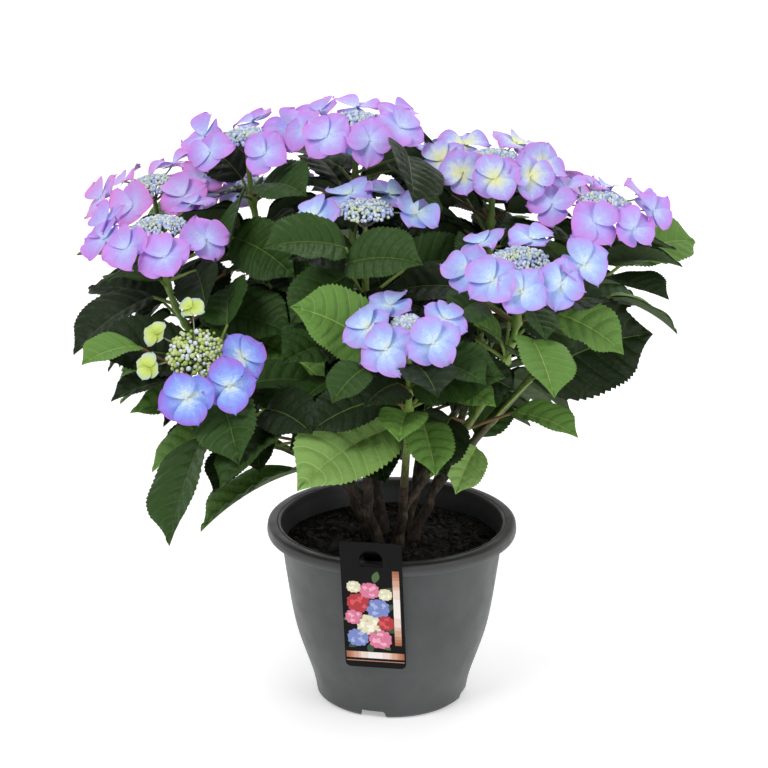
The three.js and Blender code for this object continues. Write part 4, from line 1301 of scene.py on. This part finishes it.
# ---- soil
SOIL_FLAT = 62                # radius of its level middle
SOIL_EDGE = 169               # height of the soil where it meets the pot
SOIL_ROWS = 46
SOIL_TURNS = 180
SWELLS = 26                   # crossing waves that make its top uneven
CRUMBS = 1500
CHIP_SHARE = 0.28             # of the crumbs
CRUMB = bead_of(6, 4)


def earth():
    look = Look("earth", srgb(26, 21, 17), 0.95)
    lumps = look.noise(5, detail=6, roughness=0.7)
    look.colour(look.ramp(
        lumps, (0.3, srgb(8, 7, 6)), (0.62, srgb(22, 17, 14)), (0.85, srgb(58, 44, 34))))
    under = look.bump(lumps, 2.5, 0.9)
    look.bump(look.noise(1.1, detail=4), 0.7, 0.7, under=under)
    return look.material


def chips():
    look = Look("bark_chips", srgb(64, 44, 30), 0.9)
    grain = look.noise(2.5, detail=5, stretch=(1, 3, 1))
    look.colour(look.ramp(
        grain, (0.3, srgb(24, 17, 13)), (0.6, srgb(56, 38, 27)), (0.85, srgb(98, 72, 52))))
    look.bump(grain, 0.5, 0.8)
    return look.material


def soil_height(radius):
    edge = wall_radius(SOIL_EDGE) - POT_WALL
    return float(np.interp(radius, [SOIL_FLAT, edge], [SOIL_TOP, SOIL_EDGE]))


def soil_top(edge, draw):
    """Rings of points of the soil's uneven top."""
    waves = [(heading(360 * draw()), 0.05 + 0.25 * draw(), 6.3 * draw(), 0.9 * draw())
             for _ in range(SWELLS)]
    radii = edge * np.linspace(0.004, 1, SOIL_ROWS)
    turn = np.linspace(0, 2 * math.pi, SOIL_TURNS, endpoint=False)
    x, y = np.outer(radii, np.cos(turn)), np.outer(radii, np.sin(turn))
    z = np.array([soil_height(r) for r in radii])[:, None] + np.zeros_like(x)
    for way, pace, phase, size in waves:
        z = z + 0.55 * size * np.sin(pace * (x * way[0] + y * way[1]) + phase)
    return np.stack([x, y, z - 1.2], axis=-1)


def crumb(edge, draw):
    """The points of one crumb or flat chip of bark where it lies, and whether it is a chip."""
    points = CRUMB[0]
    radius, azimuth = (edge - 4) * math.sqrt(draw()), 360 * draw()
    chip = draw() < CHIP_SHARE
    if chip:
        size = 2.2 + 3.2 * draw() ** 2
        shape = points * [1, 0.45 + 0.3 * draw(), 0.22 + 0.15 * draw()]
    else:
        size = 0.9 + 1.6 * draw()
        shape = points * (0.8 + 0.4 * grid_of(draw, len(points), 1))
    spin, tip = 2 * math.pi * draw(), around(draw, 0, 0.7)
    shape = turned(turned(shape * size, heading(0), tip), UP, spin)
    return heading(azimuth) * radius + UP * (soil_height(radius) - 0.6 + 0.2 * size) + shape, chip


def fine_soil(draw):
    """A lumpy top with crumbs and chips of bark lying on it, and the soil's plain sides below."""
    heap = Heap()
    edge = wall_radius(SOIL_EDGE) - POT_WALL - 0.2
    heap.add(soil_top(edge, draw), lattice(SOIL_ROWS, SOIL_TURNS, closed=True))
    floor = RECESS + POT_WALL + 3
    below = [(edge, SOIL_EDGE - 1), (wall_radius(60) - POT_WALL - 0.5, 60),
             (wall_radius(15) - POT_WALL - 0.5, floor), (0.5, floor)]
    heap.add(*lathe(below, 48))
    for _ in range(CRUMBS):
        points, chip = crumb(edge, draw)
        heap.add(points, CRUMB[1], int(chip))
    heap.build("soil_surface", "soil", [earth(), chips()], ["soil"])


# ---- label
LABEL = {
    "azimuth": 261, "width": 63, "length": 158, "corner": 6, "thick": 1.2, "above": 30, "lean": 14,
    "window_width": 24, "window_top": 20,
    "tongue_width": 20, "tongue_drop": 14, "tongue_stand_off": 2.5,
}
HINGE = RIM_TOP - RIM_SKIRT   # height of the rim's lower edge, on which the card leans
PRINT_TONES = {
    "band_0": (158, 92, 62), "band_1": (174, 110, 80), "band_2": (190, 132, 104),
    "band_3": (206, 158, 134), "band_4": (220, 184, 166), "band_5": (232, 210, 198),
    "band_6": (238, 230, 224),
    "cream_dark": (176, 172, 132), "cream": (224, 218, 184), "cream_light": (244, 240, 222),
    "blue_dark": (70, 84, 150), "blue": (116, 132, 196), "blue_light": (164, 176, 222),
    "red_dark": (120, 18, 30), "red": (176, 32, 44), "red_light": (212, 78, 84),
    "rose_dark": (160, 66, 100), "rose": (216, 116, 150), "rose_light": (238, 170, 194),
    "green": (34, 62, 28), "green_light": (62, 98, 44),
}
LAST_BAND = 6                 # the palest of the band tones
BAND_STEPS = 24
TONGUE_STEPS = 28
PRINT_LIFT = 0.12             # how far the print stands before the card
DISC_POINTS = 48
SPRIG_POINTS = 13
PRINT_MARGIN = 1.5
GARLAND_FOOT = 34             # above the card's lower edge
GARLAND_LEAVES = [            # place, length, azimuth and tone of each
    (-14, 2, 17, 220, "green"), (4, 0, 16, 320, "green_light"), (12, 14, 14, 10, "green"),
    (-20, 30, 12, 200, "green_light"), (8, 40, 16, 25, "green"), (-14, 62, 15, 140, "green"),
    (2, 74, 15, 75, "green_light"), (10, 62, 13, 30, "green"), (-4, -2, 14, 265, "green"),
]
GARLAND_BLOOMS = [            # place, radius and colour of each
    (-17, 4, 12, "blue"), (6, 3, 13, "rose"), (-5, 21, 14, "cream"), (12, 24, 10, "red"),
    (-20, 30, 10, "rose"), (5, 42, 13, "blue"), (-15, 48, 13, "red"), (-3, 64, 11, "rose"),
    (13, 60, 8, "cream"), (-19, 68, 8, "cream"),
]
BLOOM_RINGS = [(0.72, 11), (0.46, 7), (0.17, 3)]     # reach of each ring and its number of discs


def label_frame():
    """The card's middle line: its hinge on the rim, the ways out, up and across it."""
    azimuth, lean = LABEL["azimuth"], math.radians(LABEL["lean"])
    out, beside = heading(azimuth), heading(azimuth + 90)
    up = UP * math.cos(lean) + out * math.sin(lean)
    face = np.cross(beside, up)
    hinge = out * (RIM_RADIUS + GAP) + UP * HINGE
    return hinge, beside, up, face


def on_card(y, z, lift=0.0):
    """A point of the card's face: y across it and z along it from the hinge."""
    hinge, beside, up, face = label_frame()
    return hinge + beside * y + up * z + face * (LABEL["thick"] + lift)


def card_outline():
    """The card's rounded outline as (y, z), turning left."""
    top = (RIM_TOP + LABEL["above"] - HINGE) / math.cos(math.radians(LABEL["lean"]))
    bottom = top - LABEL["length"]
    half, corner = LABEL["width"] / 2, LABEL["corner"]
    low, high = bottom + corner, top - corner
    return (arc((half - corner, low), corner, -90, 0) + arc((half - corner, high), corner, 0, 90)
            + arc((corner - half, high), corner, 90, 180) + arc((corner - half, low), corner, 180, 270))


def window_outline():
    """The arched window that the tongue leaves, as (y, z), turning left."""
    slope = math.cos(math.radians(LABEL["lean"]))
    sill = (RIM_TOP + 1 - HINGE) / slope
    half = LABEL["window_width"] / 2
    crown = (RIM_TOP + LABEL["window_top"] - HINGE) / slope - half
    return [(-half, sill), (half, sill)] + arc((0, crown), half, 0, 180, 20)


def card_looks():
    card = Look("label_card", srgb(8, 8, 9), 0.45, Specular_IOR_Level=0.12)
    card.bump(card.noise(1.2), 0.03, 0.4)
    card.roughness(card.ramp(card.noise(30), (0.3, 0.4), (0.7, 0.55)))
    prints = [plain_look("print_" + name, tone, 0.35, 1.2, 0.03) for name, tone in PRINT_TONES.items()]
    return [card.material, *prints]


def fine_card(looks):
    """The card with its window, made by filling its outline; its tongue is added with the print."""
    outline, window = card_outline(), window_outline()
    mesh = bmesh.new()
    edges = []
    for loop in (outline, window):
        verts = [mesh.verts.new(on_card(y, z, -LABEL["thick"]) * MM) for y, z in loop]
        edges += [mesh.edges.new((a, b)) for a, b in zip(verts, verts[1:] + verts[:1])]
    bmesh.ops.triangle_fill(mesh, use_beauty=True, edges=edges)
    bmesh.ops.recalc_face_normals(mesh, faces=mesh.faces)
    face = label_frame()[3]
    if mesh.faces[0].normal.dot(Vector(face)) > 0:
        bmesh.ops.reverse_faces(mesh, faces=mesh.faces)
    made = bmesh.ops.extrude_face_region(mesh, geom=mesh.faces[:])
    lifted = [v for v in made["geom"] if isinstance(v, bmesh.types.BMVert)]
    bmesh.ops.translate(mesh, verts=lifted, vec=Vector(face * LABEL["thick"] * MM))
    data = bpy.data.meshes.new("label_card")
    mesh.to_mesh(data)
    mesh.free()
    for look in looks:
        data.materials.append(look)
    card = put("label_card", data)
    bevel = card.modifiers.new("edge", "BEVEL")
    bevel.width, bevel.segments, bevel.limit_method = 0.25 * MM, 2, "ANGLE"
    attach(card, "root")
    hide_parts("plant_label")


def tongue_path():
    """The tongue's middle line, from the window's top over the rim and down inside it."""
    out = heading(LABEL["azimuth"])
    lean = math.tan(math.radians(LABEL["lean"]))
    half = LABEL["window_top"] / 2
    inside = wall_radius(HINGE) - POT_WALL - LABEL["tongue_stand_off"]
    root = RIM_TOP + LABEL["window_top"] + 1
    outside = RIM_RADIUS + GAP + LABEL["thick"] / 2 + (root - HINGE) * lean
    ends = [out * outside + UP * root, out * (outside - half) + UP * (root - half),
            out * inside + UP * (RIM_TOP + half), out * inside + UP * (RIM_TOP - LABEL["tongue_drop"])]
    return bezier(ends, np.linspace(0, 1, TONGUE_STEPS)[:, None])


def print_tone(tone):
    """The slot of a print colour, after the card's own."""
    return 1 + list(PRINT_TONES).index(tone)


def print_disc(heap, y, z, radius, tone, petals=0, depth=0.0, lift=1.0, spin=0.0):
    """A printed blot: a disc, or a rosette with a number of petals."""
    turn = np.linspace(0, 2 * math.pi, DISC_POINTS, endpoint=False)
    reach = radius * (1 - depth * (0.5 + 0.5 * np.cos(petals * (turn + spin))) ** 2)
    ring = [on_card(y + r * math.cos(a), z + r * math.sin(a), PRINT_LIFT * lift)
            for a, r in zip(turn, reach)]
    faces = [[0, k + 1, (k + 1) % DISC_POINTS + 1] for k in range(DISC_POINTS)]
    heap.add([on_card(y, z, PRINT_LIFT * lift), *ring], faces, print_tone(tone))


def print_leaf(heap, y, z, length, azimuth, tone):
    """A printed leaf, from its foot along the azimuth."""
    along = np.array([math.cos(math.radians(azimuth)), math.sin(math.radians(azimuth))])
    beside = np.array([-along[1], along[0]])
    t = np.linspace(0, 1, SPRIG_POINTS)
    half = 0.26 * length * np.sin(math.pi * t) ** 0.8
    spots = [[np.array([y, z]) + along * length * p + beside * h * side for side in (-1, 1)]
             for p, h in zip(t, half)]
    grid = np.array([[on_card(*spot, PRINT_LIFT / 2) for spot in row] for row in spots])
    heap.add(grid, lattice(SPRIG_POINTS, 2), print_tone(tone))


def print_bar(heap, y0, y1, z0, z1, tone):
    """A printed rectangle."""
    spots = [on_card(y, z, PRINT_LIFT) for y, z in ((y0, z0), (y1, z0), (y1, z1), (y0, z1))]
    heap.add(spots, [[0, 1, 2, 3]], print_tone(tone))


def print_bloom(heap, y, z, radius, colour, spin):
    """A ball of small four-petalled discs, darkest at its edge."""
    print_disc(heap, y, z, 0.9 * radius, colour + "_dark", lift=1)
    for lift, (ring, count) in enumerate(BLOOM_RINGS):
        for k in range(count):
            a = spin + lift + 2 * math.pi * k / count
            tint = colour + ["", "_light" if lift else ""][k % 2]
            print_disc(heap, y + ring * radius * math.cos(a), z + ring * radius * math.sin(a),
                       0.27 * radius, tint, petals=2, depth=0.35,
                       lift=1.5 + 0.6 * lift + 0.15 * (k % 3), spin=a)


def print_band(heap, along, start, end, low, high):
    """A band that shades from copper to white and back, lengthwise or across the card."""
    edges = np.linspace(start, end, BAND_STEPS + 1)
    for k, (a, b) in enumerate(zip(edges, edges[1:])):
        tone = "band_%d" % round(LAST_BAND * math.sin(math.pi * (k + 0.5) / BAND_STEPS))
        if along:
            print_bar(heap, low, high, a, b, tone)
        else:
            print_bar(heap, a, b, low, high, tone)


def add_tongue(heap):
    """The card's strip that bends back over the rim."""
    path, beside = tongue_path(), heading(LABEL["azimuth"] + 90)
    off = np.cross(beside, unit(np.gradient(path, axis=0))) * (LABEL["thick"] / 2)
    wide = beside * LABEL["tongue_width"] / 2
    rings = np.array([[p + o + wide, p + o - wide, p - o - wide, p - o + wide]
                      for p, o in zip(path, off)])
    heap.add(rings, lattice(len(rings), 4, closed=True), 0)
    heap.add(rings[-1], [[0, 1, 2, 3]], 0)


def fine_print(looks):
    """Copper bands and a bunch of round blooms, and the card's tongue."""
    heap = Heap()
    heights = [z for _, z in card_outline()]
    top, bottom = max(heights), min(heights)
    edge = LABEL["width"] / 2 - PRINT_MARGIN
    print_band(heap, True, bottom + 30, top - 34, edge - 9, edge - 2)
    print_band(heap, False, -edge, edge, bottom + 12, bottom + 20)
    print_bar(heap, -edge, edge, bottom + 8, bottom + 9, "band_2")
    foot = bottom + GARLAND_FOOT
    for y, z, length, azimuth, tone in GARLAND_LEAVES:
        print_leaf(heap, y, foot + z, length, azimuth, tone)
    for y, z, radius, colour in GARLAND_BLOOMS:
        print_bloom(heap, y, foot + z, radius, colour, y)
    add_tongue(heap)
    heap.build("label_print", "label", looks, ["plant_label"])


# ---- assembly
LEAF_SEED, STEM_SEED, HEAD_SEED = 40000, 50000, 60000     # of each kind's random draws
BARK_SEED, SOIL_SEED = 70000, 80000


def split(pieces, count):
    """Even runs of a list."""
    step = math.ceil(len(pieces) / count)
    return [pieces[i:i + step] for i in range(0, len(pieces), step)]


def nodes_named(prefix):
    return [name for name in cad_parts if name.startswith(prefix)]


def build_leaves(grown):
    """The leaves in three pieces, by shoots."""
    looks = leaf_looks()
    for number, shoots in enumerate(split(SHOOTS, 3)):
        heap = Heap()
        for i, g in enumerate(g for g in grown if any(g["shoot"] is s for s in shoots)):
            draw = chance(LEAF_SEED + 1000 * number + i)
            fine_leaf(heap, g["leaf"], leaf_tone_and_shade(g["leaf"], draw), draw)
        heap.build(f"leaves_{number}", "leaf", looks, ["leaves_" + s["name"] for s in shoots])


def taken_by(index):
    """The coarse shapes that one shoot's florets keep clear of."""
    earlier = [node_shape(name) for name in ["pot", "soil", "plant_label", *nodes_named("woody_")]]
    earlier += [node_shape("flowers_" + other["name"]) for other in SHOOTS[:index]]
    return earlier + [green_stem(s["route"]) for i, s in enumerate(SHOOTS) if i != index]


def build_shoots(grown):
    """The green stems, and the florets and buds of the heads."""
    stems, florets, buds = Heap(), Heap(), Heap()
    for index, s in enumerate(SHOOTS):
        shares = sorted({round(g["leaf"]["share"], 3) for g in grown if g["shoot"] is s})
        fine_stem(stems, s, shares, chance(STEM_SEED + index))
        draw = chance(HEAD_SEED + index)
        made, dome_radius = florets_of(s, index, taken_by(index))
        for root, middle, facing, radius, spin in made:
            palette = "green" if radius < UNOPENED * FLORET_RADIUS else s["petals"]
            fine_floret(florets, root, middle, facing, radius, spin, palette, draw)
        fine_buds(buds, s, dome_radius, draw)
    stems.build("stems", "stem", stem_looks(), nodes_named("stem_"))
    florets.build("florets", "flower", petal_looks(), nodes_named("flowers_"))
    buds.build("buds", "flower", bud_looks(), nodes_named("flowers_"))


def build_limbs():
    """The brown boughs."""
    bark = Heap()
    for number, limb in enumerate(LIMBS):
        fine_limb(bark, limb, [s for s in SHOOTS if s["limb"] == limb], chance(BARK_SEED + number))
    bark.build("woody_limbs", "bark", [bark_look()], nodes_named("woody_"))


def grow_plant():
    for s in SHOOTS:
        s["route"] = Route(s)
    grown = grow_leaves()
    build_leaves(grown)
    build_shoots(grown)
    build_limbs()


# ---- studio
CAMERA_PLACE = (-0.0081, -2.95, 1.344)
CAMERA_TILT = 71.25
CAMERA_LENS = 141.6
LIGHTS_AIM = (0, 0, 0.35)
LIGHTS = [                    # place, size and power of each
    ("key", (-1.5, -1.9, 2.9), 1.3, 56),
    ("fill", (2.4, -2.2, 1.6), 2.0, 38),
    ("back", (0.6, 1.8, 2.8), 1.8, 24),
]
FLOOR_FRONT, FLOOR_BACK, FLOOR_HALF_WIDTH = -6.0, 2.0, 7.0
BACKDROP_CURVE, BACKDROP_TOP = 1.2, 7.0
PAPER_GLOW = {"Emission_Color": (1, 1, 1, 1), "Emission_Strength": 0.35}


def studio():
    """A pale floor that runs up into a backdrop, soft lights and the camera."""
    bend = arc((FLOOR_BACK, BACKDROP_CURVE), BACKDROP_CURVE, -90, 0, 14)
    profile = [(FLOOR_FRONT, 0.0), *bend, (FLOOR_BACK + BACKDROP_CURVE, BACKDROP_TOP)]
    sides = (-FLOOR_HALF_WIDTH, FLOOR_HALF_WIDTH)
    grid = np.array([[[x, y, z] for x in sides] for y, z in profile])
    mesh = bpy.data.meshes.new("floor")
    mesh.from_pydata([tuple(p) for p in grid.reshape(-1, 3)], [], lattice(len(profile), 2).tolist())
    for polygon in mesh.polygons:
        polygon.use_smooth = True
    paper = plain_look("floor_paper", (246, 246, 246), 0.9, 6, 0.02, 0.2, **PAPER_GLOW)
    mesh.materials.append(paper)
    floor = put("floor", mesh)
    floor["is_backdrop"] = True

    world = bpy.data.worlds.new("studio")
    world.use_nodes = True
    sky = world.node_tree.nodes["Background"].inputs
    sky["Color"].default_value = (1, 1, 1, 1)
    sky["Strength"].default_value = 0.35
    bpy.context.scene.world = world
    for name, place, size, power in LIGHTS:
        light = bpy.data.lights.new(name, "AREA")
        light.size, light.energy = size, power
        lamp = put(name, light)
        lamp.location = place
        way = Vector(LIGHTS_AIM) - lamp.location
        lamp.rotation_euler = way.to_track_quat("-Z", "Y").to_euler()

    camera = put("camera", bpy.data.cameras.new("camera"))
    camera.data.lens, camera.data.sensor_width = CAMERA_LENS, 36
    camera.location = CAMERA_PLACE
    camera.rotation_euler = (math.radians(CAMERA_TILT), 0, 0)
    bpy.context.scene.camera = camera
    bpy.context.scene.view_settings.view_transform = "Standard"


studio()
fine_pot()
fine_soil(chance(SOIL_SEED))
printing = card_looks()
fine_card(printing)
fine_print(printing)
grow_plant()
